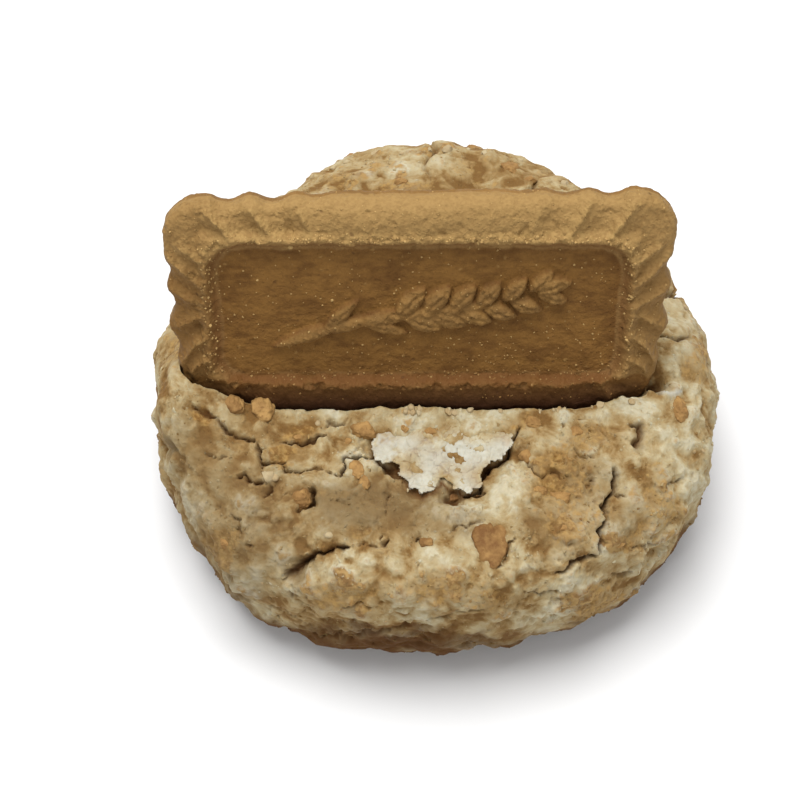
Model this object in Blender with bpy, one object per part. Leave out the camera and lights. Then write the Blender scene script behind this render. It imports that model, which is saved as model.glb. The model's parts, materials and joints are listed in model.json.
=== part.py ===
"""A soft baked cookie with a ribbed speculoos biscuit pressed upright into its top.

Lengths below are in millimetres, and each finished mesh is scaled to metres.
The cookie rests on z = 0 with its middle on the Z axis, and -Y is its front.
"""

import math
import random

import bmesh
import bpy
from mathutils import Matrix, Vector, noise
from mathutils.bvhtree import BVHTree

METRES = 0.001

# Dough: a rounded slab whose outline wavers a little
DOUGH_RADIUS = 37.6
DOUGH_HEIGHT = 27.0
WIDEST_LEVEL = 9.4
BASE_SHARE = 0.85
TOP_ROUNDNESS = 4.0
SIDE_ROUNDNESS = 2.5
OUTLINE_WAVES = ((2, 0.30, 0.0), (3, 0.12, -0.95), (4, 0.01, -0.13), (5, -0.02, 0.20))
BASE_EDGE = 2.5

# Biscuit: a rectangle with a ribbed frame round a sunk panel
BISCUIT_LENGTH = 63.0
BISCUIT_HEIGHT = 31.0
BISCUIT_THICKNESS = 5.5
BACK_ROUNDING = 2.0
BISCUIT_CORNER = 5.5
FRAME_WIDTH = 6.65
PANEL_CORNER = 3.0
PANEL_DEPTH = 1.2
CREST_INSET = 5.3
SHOULDER_WIDTH = 3.6
SHOULDER_DROP = 2.6
SHOULDER_POWER = 2.2
RIB_SPACING = 4.5
RIB_RELIEF = 0.45
SCALLOP_DEPTH = 0.95
RIM_SLANT = 0.018
LOWER_SPREAD = 1.4
RIM_REACH = 3.5
SIDE_BLEND = 12.0
RIM_UNEVENNESS = 0.2
BISCUIT_CENTRE = Vector((-1.7, -3.5, 38.5))
BISCUIT_LEAN = math.radians(66.4)
BISCUIT_ROLL = math.radians(-0.55)
BISCUIT_TURN = math.radians(1.0)
BISCUIT_GAP = 0.35

# The front map: where a spot on the dough shows, seen from in front and above
EYE_TARGET = Vector((0.0, 0.7, 14.0))
EYE_ANGLE = math.radians(60)
EYE_DISTANCE = 250.0
TO_EYE = Vector((0.0, -math.cos(EYE_ANGLE), math.sin(EYE_ANGLE)))
MAP_UP = Vector((0.0, math.sin(EYE_ANGLE), math.cos(EYE_ANGLE)))

# Where the dough stands higher or sags: x, y, reach and rise
SWELLS = (
    (-32.0, -7.0, 9.0, 4.0),
    (35.0, -4.5, 8.0, 2.6),
    (0.0, 8.0, 17.0, 1.2),
    (-11.0, -14.0, 12.0, -2.3),
    (10.0, -14.0, 13.0, -2.7),
)

# Waviness of the crust: size of the waves, their height and where the pattern starts
WAVINESS = (
    (12.0, 0.80, Vector((3, 5, 2))),
    (5.5, 0.45, Vector((1, 8, 6))),
    (2.4, 0.22, Vector((0, 0, 0))),
)
RAGGED_SIZE = 1.5
RAGGEDNESS = 0.35

# Cracks between plates of crust, away from the front: plate size, depth and width share
PLATE_SIZE = 17.0
PLATE_CRACK_DEPTH = 1.3
PLATE_CRACK_WIDTH = 0.09
PLATE_PATCH_SIZE = 14.0

# Up to where the front map shows the dough, and over how much it fades out
FRONT_END = 1.0
FRONT_FADE = 6.0
GRAZING = 0.12
GRAZING_FADE = 0.25

# Cracks on the front map: half width, depth and the points they run through
CRACKS = (
    (1.00, 3.2, ((24.8, -12.1), (25.2, -13.2), (24.4, -15.2), (23.5, -17.2), (23.2, -20.2), (22.8, -23.7))),
    (0.55, 1.6, ((22.8, -23.9), (20.3, -24.4), (17.4, -26.1))),
    (0.90, 1.8, ((27.4, -5.8), (29.3, -6.1), (28.0, -7.9), (28.1, -9.5))),
    (0.85, 2.2, ((11.7, -6.2), (10.6, -9.8), (8.8, -10.9), (7.0, -12.3), (6.9, -13.9), (4.9, -15.2))),
    (0.85, 1.6, ((-33.3, -3.6), (-29.2, -5.9), (-27.0, -7.7), (-24.3, -8.0), (-22.6, -10.9), (-19.5, -10.7))),
    (0.60, 1.3, ((-21.1, -7.7), (-17.3, -8.1), (-15.0, -7.6))),
    (0.65, 1.6, ((-12.2, -12.0), (-12.1, -10.3), (-7.9, -9.9))),
    (0.90, 2.0, ((-6.8, -11.9), (-4.7, -13.2), (-1.5, -15.6), (0.8, -14.6), (3.2, -15.0), (4.9, -15.4))),
    (1.90, 2.2, ((-21.5, -27.7), (-19.1, -26.6), (-16.8, -23.9), (-14.6, -23.0))),
    (0.60, 1.5, ((-14.6, -22.9), (-9.4, -22.4), (-6.8, -22.1))),
    (0.50, 0.8, ((-22.9, -14.6), (-23.6, -15.8), (-23.0, -18.5), (-23.5, -20.2))),
    (0.90, 0.9, ((-16.5, -34.8), (-7.2, -34.3), (-0.5, -32.5), (6.9, -31.0))),
    (0.60, 0.8, ((24.0, -27.0), (26.5, -26.2), (29.9, -25.4))),
)

# Crust that has lifted off in one torn flake, as its outline on the front map
FLAKE = (
    (-8.3, -5.2), (-8.1, -9.8), (-6.4, -12.0), (-4.6, -12.8), (-1.0, -15.2), (0.6, -13.5),
    (2.8, -14.0), (4.9, -15.0), (6.7, -13.7), (7.0, -12.1), (8.6, -10.7), (10.4, -9.6), (11.4, -6.2),
)
FLAKE_RISE = 0.9

# Raised and hollow places on the front map: point, half width, half height and rise
MOUNDS = (
    ((-4.0, -27.5), 14.0, 5.0, 1.3),
    ((2.4, -15.8), 1.9, 1.5, -2.2),
    ((-16.8, -16.0), 1.8, 2.0, -1.6),
    ((22.0, -31.0), 7.0, 3.0, 0.5),
    ((-27.0, -22.0), 6.0, 6.0, 0.5),
    ((15.0, -20.0), 6.0, 5.0, 0.6),
)

# Biscuit bits baked into the dough, on the front map: point, width and height
FRONT_BITS = (
    ((-27.0, -2.9), 2.7, 3.0), ((-23.2, -3.4), 3.3, 2.7), ((-9.4, -6.5), 3.3, 2.9),
    ((-10.3, -11.7), 2.7, 2.1), ((-9.4, -13.6), 1.8, 1.8), ((-18.3, -16.2), 3.8, 3.3),
    ((7.9, -22.4), 5.1, 7.1), ((2.5, -15.5), 2.3, 3.0), ((-1.2, -21.8), 2.1, 1.4),
    ((-0.5, -6.8), 2.1, 1.8), ((9.1, -7.9), 1.8, 1.8), ((13.5, -5.5), 2.6, 1.6),
    ((19.6, -6.8), 1.8, 1.5), ((12.7, -10.1), 2.1, 1.9), ((17.4, -15.7), 3.0, 2.2),
    ((33.8, -3.5), 2.5, 2.5),
)
BACK_BITS = 12
BACK_BIT_SIZES = (2.0, 3.6)
BACK_BIT_RISES = (8, 25, 38, 55)
BIT_SINK = 0.16
BIT_UNEVENNESS = 0.28
BIT_SEED = 11

# Wheat ear in low relief on the panel
EAR_LENGTH = 33.0
EAR_RISE = 8.5
GRAIN_PAIRS = 6
GRAIN_LENGTH = 5.6
GRAIN_WIDTH = 2.9
GRAIN_ANGLE = math.radians(34)
FIRST_GRAIN, LAST_GRAIN = 0.42, 0.92
STEM_WIDTH = 2.2
STEM_PIECES = 5
STEM_END = 0.72
STEM_BEND = 0.8
LEAF_LENGTH = 6.8
LEAF_WIDTH = 1.7
LEAF_ANGLE = math.radians(30)
RELIEF_HEIGHT = 1.1

# Mesh fineness
BALL_SUBDIVISIONS = 7
DOUGH_TRIANGLES = 6900
STRAIGHT_STEPS, CORNER_STEPS, LONG_STEPS = 9, 9, 20
FRAME_RINGS = (0.0, 0.4, 1.2, 2.4, 3.9, 5.2, 5.8, FRAME_WIDTH)
SHARP_ANGLE = math.radians(50)


def clear_scene():
    for item in list(bpy.data.objects):
        bpy.data.objects.remove(item)


def smooth(value):
    """0 below 0, 1 above 1, and an S curve between them."""
    value = min(max(value, 0.0), 1.0)
    return value * value * (3 - 2 * value)


def new_collection(name):
    collection = bpy.data.collections.new(name)
    bpy.context.scene.collection.children.link(collection)
    return collection


def move_to(item, collection):
    for old in list(item.users_collection):
        old.objects.unlink(item)
    collection.objects.link(item)


def new_material(name, colour, roughness):
    material = bpy.data.materials.new(name)
    material.use_nodes = True
    shader = material.node_tree.nodes["Principled BSDF"]
    shader.inputs["Base Color"].default_value = (*colour, 1)
    shader.inputs["Roughness"].default_value = roughness
    shader.inputs["Metallic"].default_value = 0
    return material


def apply_modifier(item, modifier):
    bpy.ops.object.select_all(action="DESELECT")
    bpy.context.view_layer.objects.active = item
    item.select_set(True)
    bpy.ops.object.modifier_apply(modifier=modifier.name)


def fuse(item, pieces):
    """One union joins a collection of pieces to the item, and the pieces are then removed."""
    modifier = item.modifiers.new("Fuse", "BOOLEAN")
    modifier.operation = "UNION"
    modifier.operand_type = "COLLECTION"
    modifier.collection = pieces
    apply_modifier(item, modifier)
    for piece in list(pieces.objects):
        bpy.data.objects.remove(piece)


def drop_scraps(item):
    """Keeps only the largest of the pieces that a cut left."""
    mesh = bmesh.new()
    mesh.from_mesh(item.data)
    left, pieces = set(mesh.verts), []
    while left:
        piece, edge = set(), [left.pop()]
        while edge:
            vertex = edge.pop()
            piece.add(vertex)
            near = {link.other_vert(vertex) for link in vertex.link_edges} & left
            left -= near
            edge.extend(near)
        pieces.append(piece)
    pieces.sort(key=len)
    for piece in pieces[:-1]:
        bmesh.ops.delete(mesh, geom=list(piece), context="VERTS")
    mesh.to_mesh(item.data)
    mesh.free()


def front_map(point):
    """Across and up, as the spot shows from the eye, at the scale of the dough's middle."""
    offset = point - EYE_TARGET
    scale = EYE_DISTANCE / (EYE_DISTANCE - offset.dot(TO_EYE))
    return Vector((offset.x * scale, offset.dot(MAP_UP) * scale))


def plan_radius(angle):
    radius = DOUGH_RADIUS
    for lobes, cosine, sine in OUTLINE_WAVES:
        radius += cosine * math.cos(lobes * angle) + sine * math.sin(lobes * angle)
    return radius


def plain_dough(direction):
    """The smooth slab's surface along a ray from the middle of its widest level, and its normal."""
    across = math.hypot(direction.x, direction.y)
    radius = plan_radius(math.atan2(direction.y, direction.x))
    if direction.z > 0:
        power, rise = TOP_ROUNDNESS, DOUGH_HEIGHT - WIDEST_LEVEL
    else:
        power = SIDE_ROUNDNESS
        rise = WIDEST_LEVEL / (1 - BASE_SHARE**power) ** (1 / power)
    side, up = across / radius, abs(direction.z) / rise
    reach = (side**power + up**power) ** (-1 / power)
    if direction.z < 0 and reach * -direction.z >= WIDEST_LEVEL:
        spot = direction * (WIDEST_LEVEL / -direction.z)
        return Vector((spot.x, spot.y, 0)), Vector((0, 0, -1))
    slope_out = side ** (power - 1) / radius / max(across, 1e-6)
    slope_up = math.copysign(up ** (power - 1) / rise, direction.z)
    normal = Vector((direction.x * slope_out, direction.y * slope_out, slope_up)).normalized()
    return direction * reach + Vector((0, 0, WIDEST_LEVEL)), normal


def distance_to_path(spot, path):
    """How far the spot is from the path, and how far along the path that is, from 0 to 1."""
    best, place = 1e9, 0
    for index in range(len(path) - 1):
        start, end = Vector(path[index]), Vector(path[index + 1])
        run = end - start
        share = min(max((spot - start).dot(run) / run.length_squared, 0), 1)
        distance = (start + run * share - spot).length
        if distance < best:
            best, place = distance, (index + share) / (len(path) - 1)
    return best, place


def inside_outline(spot, outline):
    inside = False
    for index, corner in enumerate(outline):
        (x1, y1), (x2, y2) = outline[index - 1], corner
        if (y1 > spot.y) != (y2 > spot.y) and spot.x < x1 + (spot.y - y1) / (y2 - y1) * (x2 - x1):
            inside = not inside
    return inside


def crack_depth(spot):
    depth = 0
    for half_width, deepest, path in CRACKS:
        if all(abs(spot.x - x) > 12 or abs(spot.y - y) > 12 for x, y in path):
            continue
        distance, place = distance_to_path(spot, path)
        width = half_width * (1 - 0.6 * abs(2 * place - 1) ** 3)
        if distance < width:
            depth = max(depth, deepest * (1 - distance / width) ** 0.8)
    return depth


def flake_rise(spot):
    """The flake stands proud at its torn edge and sinks back into the crust above it."""
    if not inside_outline(spot, FLAKE):
        return 0
    edge, _ = distance_to_path(spot, FLAKE[1:])
    return FLAKE_RISE * smooth(edge / 0.5) * math.exp(-edge / 7)


def mound_rise(spot):
    rise = 0
    for centre, half_width, half_height, height in MOUNDS:
        away = math.hypot((spot.x - centre[0]) / half_width, (spot.y - centre[1]) / half_height)
        rise += height * (1 - smooth(away / 1.4))
    return rise


def wandering_cracks(point):
    """Cracks between crust plates where nothing shows them one by one."""
    warp = noise.noise_vector(point * 3 / PLATE_SIZE) * 0.2
    distances = noise.voronoi(point / PLATE_SIZE + warp)[0]
    patch = smooth((noise.noise(point / PLATE_PATCH_SIZE + Vector((7, 1, 4))) + 0.05) / 0.25)
    return PLATE_CRACK_DEPTH * patch * (1 - smooth((distances[1] - distances[0]) / PLATE_CRACK_WIDTH))


def dough_relief(point, normal):
    """How far the baked surface stands out from the smooth slab."""
    relief = sum(height * noise.noise(point / size + start) for size, height, start in WAVINESS)
    facing = smooth((normal.dot(TO_EYE) - GRAZING) / GRAZING_FADE)
    facing *= smooth((FRONT_END - point.y) / FRONT_FADE)
    ragged = noise.noise_vector(point / RAGGED_SIZE)
    spot = front_map(point) + Vector((ragged.x, ragged.y)) * RAGGEDNESS
    relief += facing * (flake_rise(spot) + mound_rise(spot) - crack_depth(spot))
    relief -= (1 - 0.8 * facing) * wandering_cracks(point)
    return relief * smooth(point.z / BASE_EDGE)


def swell(point):
    rise = 0
    for x, y, reach, height in SWELLS:
        rise += height * math.exp(-((point.x - x) ** 2 + (point.y - y) ** 2) / reach**2)
    return rise


def dough_point(direction):
    point, normal = plain_dough(direction)
    if point.z <= 0:
        return point
    relief = dough_relief(point, normal)
    lifted = point + normal * relief + Vector((0, 0, swell(point) * smooth(normal.z / 0.6)))
    lifted.z = max(lifted.z, 0)
    return lifted


def make_dough():
    bpy.ops.mesh.primitive_ico_sphere_add(subdivisions=BALL_SUBDIVISIONS, radius=1)
    dough = bpy.context.object
    for vertex in dough.data.vertices:
        vertex.co = dough_point(vertex.co.normalized())
    modifier = dough.modifiers.new("Thin", "DECIMATE")
    modifier.ratio = DOUGH_TRIANGLES / len(dough.data.polygons)
    apply_modifier(dough, modifier)
    for vertex in dough.data.vertices:
        if vertex.co.z < 0.02:
            vertex.co.z = 0
    return dough


def make_bit(place, outward, size, turn, collection):
    """An angular biscuit bit, sunk a third of the way into the dough."""
    width, height, depth = size
    bpy.ops.mesh.primitive_ico_sphere_add(subdivisions=2 if max(size) > 4 else 1, radius=0.5)
    bit = bpy.context.object
    bit.name = "bit"
    facing = outward.to_track_quat("Z", "Y").to_matrix().to_4x4()
    for vertex in bit.data.vertices:
        vertex.co *= 1 + BIT_UNEVENNESS * noise.noise(vertex.co * 2.7 + place)
        vertex.co = Vector((vertex.co.x * width, vertex.co.y * height, vertex.co.z * depth))
    shift = Matrix.Translation(place - outward * depth * BIT_SINK)
    bit.data.transform(shift @ facing @ Matrix.Rotation(turn, 4, "Z"))
    move_to(bit, collection)


def make_bits(dough):
    """Biscuit bits where the front shows them, and scattered evenly over the rest."""
    collection = new_collection("biscuit_bits")
    tree = BVHTree.FromObject(dough, bpy.context.evaluated_depsgraph_get())
    eye = EYE_TARGET + TO_EYE * EYE_DISTANCE
    for (across, up), width, height in FRONT_BITS:
        aim = EYE_TARGET + Vector((across, 0, 0)) + MAP_UP * up
        place, normal, _, _ = tree.ray_cast(eye, (aim - eye).normalized())
        stretch = 1 / max(normal.dot(TO_EYE), 0.45)
        depth = 0.6 * min(width, height) + 0.5
        make_bit(place, normal, (width * 1.1, height * 1.1 * stretch, depth), 0, collection)
    draw = random.Random(BIT_SEED)
    middle = Vector((0, 0, WIDEST_LEVEL))
    for index in range(BACK_BITS):
        angle = math.radians(5 + 170 * (index + draw.uniform(0.1, 0.9)) / BACK_BITS)
        rise = math.radians(draw.choice(BACK_BIT_RISES) + draw.uniform(-6, 6))
        level = Vector((math.cos(angle), math.sin(angle), 0))
        ray = level * math.cos(rise) + Vector((0, 0, math.sin(rise)))
        place, normal, _, _ = tree.ray_cast(middle, ray)
        wide = draw.uniform(*BACK_BIT_SIZES)
        size = (wide, wide * draw.uniform(0.7, 1), wide * 0.7)
        make_bit(place, normal, size, draw.uniform(0, math.pi), collection)
    fuse(dough, collection)
    bpy.data.collections.remove(collection)


def biscuit_frame():
    """From the biscuit's own axes (along, up its face, out of its face) to the cookie's."""
    lean = Matrix.Rotation(BISCUIT_LEAN, 4, "X")
    turn = Matrix.Rotation(BISCUIT_TURN, 4, "Y")
    roll = Matrix.Rotation(BISCUIT_ROLL, 4, "Z")
    return Matrix.Translation(BISCUIT_CENTRE) @ lean @ turn @ roll


def rectangle_point(half_length, half_height, radius, station):
    """A point of a rounded rectangle, by quarter and share of that quarter, from the right side round."""
    quarter = int(station) % 4
    share = station - int(station)
    if quarter % 2:
        share = 1 - share
    straight, corner = half_height - radius, radius * math.pi / 2
    steps = STRAIGHT_STEPS + CORNER_STEPS + LONG_STEPS
    first, second = STRAIGHT_STEPS / steps, (STRAIGHT_STEPS + CORNER_STEPS) / steps
    if share < first:
        x, y = half_length, straight * share / first
    elif share < second:
        angle = corner / radius * (share - first) / (second - first)
        x = half_length - radius + radius * math.cos(angle)
        y = straight + radius * math.sin(angle)
    else:
        x, y = (half_length - radius) * (1 - share) / (1 - second), half_height
    side = (1, -1, -1, 1)[quarter]
    top = (1, 1, -1, -1)[quarter]
    return Vector((side * x, top * y))


def rib_wave(spot):
    """1 on a ridge and -1 in a hollow: ridges run parallel to each corner's diagonal."""
    along = BISCUIT_LENGTH / 2 - abs(spot.x)
    up = BISCUIT_HEIGHT / 2 - abs(spot.y)
    return math.cos(2 * math.pi * (along - up) / RIB_SPACING)


def rib_strength(spot):
    """Full at the short sides and corners, and faint along the middle of the long sides."""
    clear = 9 if spot.y > 0 else 19
    return 0.15 + 0.85 * smooth((abs(spot.x) - clear) / 8)


def frame_profile(inset):
    """Height across the frame, from its outer edge in to the panel, with the crest at 0."""
    if inset < SHOULDER_WIDTH:
        fall = (1 - inset / SHOULDER_WIDTH) ** SHOULDER_POWER
        return -SHOULDER_DROP * (1 - (1 - fall) ** (1 / SHOULDER_POWER))
    return -PANEL_DEPTH * smooth((inset - CREST_INSET) / (FRAME_WIDTH - CREST_INSET))


def rim_shift(spot, inset):
    """How far the rim is moved up or down: its top slants a little and its foot spreads."""
    slant = RIM_SLANT * spot.x * smooth(spot.y / SIDE_BLEND)
    return (slant - LOWER_SPREAD * smooth(-spot.y / SIDE_BLEND)) * (1 - smooth(inset / RIM_REACH))


def biscuit_point(station, inset, height=None):
    """A point at this station and inset from the outline, on the face unless a height is given."""
    outer = rectangle_point(BISCUIT_LENGTH / 2, BISCUIT_HEIGHT / 2, BISCUIT_CORNER, station)
    panel = Vector((BISCUIT_LENGTH / 2 - FRAME_WIDTH, BISCUIT_HEIGHT / 2 - FRAME_WIDTH))
    inner = rectangle_point(panel.x, panel.y, PANEL_CORNER, station)
    spot = outer.lerp(inner, inset / FRAME_WIDTH)
    wave, strength = rib_wave(spot), rib_strength(spot)
    uneven = RIM_UNEVENNESS * (1 + noise.noise(Vector((spot.x, spot.y, 0)) / 4))
    scallop = SCALLOP_DEPTH * 0.5 * (1 - wave) * strength + uneven
    shift = Vector((0, rim_shift(spot, inset)))
    spot += (inner - outer).normalized() * scallop * (1 - smooth(inset / RIM_REACH)) + shift
    if height is None:
        window = smooth(inset / 1.5) * (1 - smooth((inset - 5.2) / 1.2))
        height = frame_profile(inset) + RIB_RELIEF * window * (wave - 1) * strength
    return Vector((spot.x, spot.y, height))


def back_rounding(share):
    """Inset and height round the edge of the biscuit's back, from the back itself to its side."""
    turn = share * math.pi / 2
    inset = BACK_ROUNDING * (1 - math.sin(turn))
    return inset, -BISCUIT_THICKNESS + BACK_ROUNDING * (1 - math.cos(turn))


def make_loft(name, rings, place, collection):
    """A closed solid through rings, from its back to its face, each moved on to its own points."""
    steps = STRAIGHT_STEPS + CORNER_STEPS + LONG_STEPS
    mesh = bmesh.new()
    bmesh.ops.create_cone(mesh, cap_ends=True, segments=4 * steps, radius1=1, radius2=1, depth=1)
    mesh.faces.ensure_lookup_table()
    cap = max(mesh.faces, key=lambda face: face.calc_center_median().z)
    stations = {}
    for vertex in mesh.verts:
        share = math.atan2(vertex.co.y, vertex.co.x) / (2 * math.pi)
        stations[vertex] = round(share * 4 * steps) % (4 * steps) / steps
    for vertex in mesh.verts:
        vertex.co = place(stations[vertex], *rings[0])
    for index, ring in enumerate(rings[1:]):
        old = [loop.vert for loop in cap.loops]
        if index:
            bmesh.ops.inset_individual(mesh, faces=[cap], thickness=0.01, use_even_offset=False)
        for loop, before in zip(cap.loops, old):
            stations[loop.vert] = stations[before]
            loop.vert.co = place(stations[before], *ring)
    bmesh.ops.recalc_face_normals(mesh, faces=mesh.faces)
    loft = bpy.data.objects.new(name, bpy.data.meshes.new(name))
    mesh.to_mesh(loft.data)
    mesh.free()
    loft.data.transform(biscuit_frame())
    collection.objects.link(loft)
    return loft


def stem_point(share):
    """The wheat ear's stem: a shallow S from the panel's lower left to its upper right."""
    x = (share - 0.5) * EAR_LENGTH
    y = (share - 0.5) * EAR_RISE + STEM_BEND * math.sin(share * 2 * math.pi)
    return Vector((x, y, -PANEL_DEPTH))


def make_seed(name, place, angle, length, width, height, collection):
    """A smooth pointed pip lying on the panel: a grain, a leaf or a length of stem."""
    bpy.ops.mesh.primitive_uv_sphere_add(segments=8, ring_count=6, radius=0.5)
    seed = bpy.context.object
    seed.name = name
    seed.data.transform(Matrix.Rotation(math.pi / 2, 4, "Y"))
    for vertex in seed.data.vertices:
        taper = 1 - 0.5 * abs(vertex.co.x * 2) ** 2
        vertex.co = Vector((vertex.co.x * length, vertex.co.y * width * taper, vertex.co.z * 2 * height))
    seed.data.transform(biscuit_frame() @ Matrix.Translation(place) @ Matrix.Rotation(angle, 4, "Z"))
    move_to(seed, collection)


def make_ear(slab):
    collection = new_collection("wheat_ear")
    heading = math.atan2(EAR_RISE, EAR_LENGTH)
    for index in range(STEM_PIECES):
        start = stem_point(STEM_END * index / STEM_PIECES - 0.02)
        end = stem_point(STEM_END * (index + 1) / STEM_PIECES + 0.02)
        run = end - start
        angle = math.atan2(run.y, run.x)
        middle = (start + end) / 2
        make_seed("stem", middle, angle, run.length * 1.5, STEM_WIDTH, RELIEF_HEIGHT * 0.8, collection)
    for index in range(GRAIN_PAIRS):
        share = FIRST_GRAIN + (LAST_GRAIN - FIRST_GRAIN) * index / (GRAIN_PAIRS - 1)
        size = 1 - 0.25 * index / GRAIN_PAIRS
        for side in (1, -1):
            angle = heading + side * GRAIN_ANGLE
            away = Vector((math.cos(angle), math.sin(angle), 0)) * GRAIN_LENGTH * 0.5 * size
            place = stem_point(share - 0.012 * side) + away
            length, width = GRAIN_LENGTH * size, GRAIN_WIDTH * size
            make_seed("grain", place, angle, length, width, RELIEF_HEIGHT, collection)
    tip = stem_point(0.99)
    make_seed("grain", tip, heading, GRAIN_LENGTH, GRAIN_WIDTH * 0.85, RELIEF_HEIGHT, collection)
    for share, side in ((0.13, 1), (0.27, -1)):
        angle = heading + side * LEAF_ANGLE
        place = stem_point(share) + Vector((math.cos(angle), math.sin(angle), 0)) * LEAF_LENGTH * 0.47
        make_seed("leaf", place, angle, LEAF_LENGTH, LEAF_WIDTH, RELIEF_HEIGHT * 0.8, collection)
    fuse(slab, collection)
    bpy.data.collections.remove(collection)


def make_biscuit():
    """A slab with a ribbed frame, and the wheat ear on its panel."""
    rings = [back_rounding(share) for share in (0, 0.5, 1)]
    rings += [(inset, None) for inset in FRAME_RINGS]
    slab = make_loft("biscuit", rings, biscuit_point, bpy.context.scene.collection)
    make_ear(slab)
    return slab


def slot_point(station, inset, height):
    """A point on the slot: the biscuit's plain outline, grown by the gap."""
    half_length = BISCUIT_LENGTH / 2 + BISCUIT_GAP - inset
    half_height = BISCUIT_HEIGHT / 2 + BISCUIT_GAP - inset
    spot = rectangle_point(half_length, half_height, BISCUIT_CORNER - inset * 0.8, station)
    return Vector((spot.x, spot.y + rim_shift(spot, inset), height))


def cut_slot(dough, cutters):
    """The slot that the biscuit stands in has its plain rounded form and a little room round it."""
    rings = []
    for share in (0, 0.5, 1):
        inset, height = back_rounding(share)
        rings.append((inset, height - BISCUIT_GAP * (1 - share)))
    for share in (0, 0.15, 0.45, 1):
        inset = share * SHOULDER_WIDTH
        rings.append((inset, frame_profile(inset) + BISCUIT_GAP * smooth(share * 6)))
    cutter = make_loft("slot_cutter", rings, slot_point, cutters)
    cutter.hide_render = True
    cutter.display_type = "WIRE"
    modifier = dough.modifiers.new("Slot", "BOOLEAN")
    modifier.operation = "DIFFERENCE"
    modifier.object = cutter
    apply_modifier(dough, modifier)
    drop_scraps(dough)


def finish(item, name, material, parts):
    item.name = name
    item.data.name = name
    item.data.transform(Matrix.Scale(METRES, 4))
    item.data.materials.clear()
    item.data.materials.append(material)
    item.data.shade_smooth()
    item.data.set_sharp_from_angle(angle=SHARP_ANGLE)
    move_to(item, parts)


def main():
    clear_scene()
    parts = new_collection("speculoos_stuffed_cookie")
    cutters = new_collection("cutters")
    dough = make_dough()
    make_bits(dough)
    cut_slot(dough, cutters)
    biscuit = make_biscuit()
    finish(dough, "cookie", new_material("baked_dough", (0.46, 0.34, 0.18), 0.85), parts)
    finish(biscuit, "biscuit", new_material("speculoos", (0.22, 0.11, 0.035), 0.75), parts)


main()
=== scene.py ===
import json
import math
import random

import bpy
import numpy as np
from mathutils import Matrix, Vector, noise
from mathutils.bvhtree import BVHTree

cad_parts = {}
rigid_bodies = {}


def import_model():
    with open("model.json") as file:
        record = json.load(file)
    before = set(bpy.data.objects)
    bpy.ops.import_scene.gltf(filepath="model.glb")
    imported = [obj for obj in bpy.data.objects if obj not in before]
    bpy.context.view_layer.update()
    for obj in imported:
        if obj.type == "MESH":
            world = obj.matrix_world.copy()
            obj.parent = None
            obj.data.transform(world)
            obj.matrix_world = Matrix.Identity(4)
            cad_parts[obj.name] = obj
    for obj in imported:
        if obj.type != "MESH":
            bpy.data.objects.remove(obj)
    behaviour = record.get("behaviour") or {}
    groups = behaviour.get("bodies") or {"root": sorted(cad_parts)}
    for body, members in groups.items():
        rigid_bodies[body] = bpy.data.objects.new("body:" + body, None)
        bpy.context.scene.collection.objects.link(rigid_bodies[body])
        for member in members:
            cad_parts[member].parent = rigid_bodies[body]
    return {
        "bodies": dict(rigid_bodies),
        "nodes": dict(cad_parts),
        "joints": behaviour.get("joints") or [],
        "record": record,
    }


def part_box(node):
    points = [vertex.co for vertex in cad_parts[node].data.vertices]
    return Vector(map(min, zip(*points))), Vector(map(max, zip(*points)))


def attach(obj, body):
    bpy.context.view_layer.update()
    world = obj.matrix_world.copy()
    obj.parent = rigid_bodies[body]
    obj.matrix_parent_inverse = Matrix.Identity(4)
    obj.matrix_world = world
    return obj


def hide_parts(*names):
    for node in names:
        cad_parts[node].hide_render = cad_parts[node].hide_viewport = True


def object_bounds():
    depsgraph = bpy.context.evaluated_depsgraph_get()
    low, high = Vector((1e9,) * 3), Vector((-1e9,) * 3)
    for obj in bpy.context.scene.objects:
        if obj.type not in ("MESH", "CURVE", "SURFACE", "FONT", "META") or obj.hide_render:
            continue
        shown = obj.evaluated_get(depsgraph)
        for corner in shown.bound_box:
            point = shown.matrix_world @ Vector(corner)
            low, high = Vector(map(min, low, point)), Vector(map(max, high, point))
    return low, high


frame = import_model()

cadLow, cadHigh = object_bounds()
metres = 0.001  # pieces are shaped in millimetres and scaled at the end
noise.seed_set(4)  # every run gives the same noise vectors


# small helpers used by every piece

def smooth(value):
    value = np.clip(value, 0, 1)
    return value * value * (3 - 2 * value)


def ramp(value, start, width):  # 0 up to the start, then smoothly up to 1 over the width
    return smooth((value - start) / width)


def unit(vectors):
    return vectors / np.maximum(np.linalg.norm(vectors, axis=-1, keepdims=True), 1e-9)


def waves(points, size, start=(0, 0, 0)):  # soft noise, about -1 to 1
    return np.array([noise.noise(p) for p in (points / size + start).tolist()])


def layeredWaves(points, layers):  # each layer has its size, height and start
    return sum(height * waves(points, size, start) for size, height, start in layers)


def drift(points, size):  # a soft noise vector at each point
    return np.array([tuple(noise.noise_vector(p)) for p in (points / size).tolist()])


def raggedShift(points, layers):  # pixels to shift by for ragged edges; a layer has its size, reach and start
    return sum(drift(points + start, size)[:, :2] * reach for size, reach, start in layers)


def cells(points, size):  # distance to the nearest and the next cell, and the nearest one's lot from 0 to 1
    found = [noise.voronoi(p) for p in (points / size).tolist()]
    near = np.array([f[0][:2] for f in found])
    middle = np.array([tuple(f[1][0]) for f in found])
    lot = np.modf(np.abs(np.sin(middle @ (12.9898, 78.233, 37.719)) * 4375.85))[0]
    return near[:, 0], near[:, 1], lot


def roundedLump(near, width):  # a lump in the middle of each cell
    return np.clip(1 - (near / width) ** 2, 0, 1)


def selectOnly(item):
    if bpy.context.object and bpy.context.object.mode != "OBJECT":
        bpy.ops.object.mode_set(mode="OBJECT")
    bpy.ops.object.select_all(action="DESELECT")
    bpy.context.view_layer.objects.active = item
    item.select_set(True)


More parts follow.
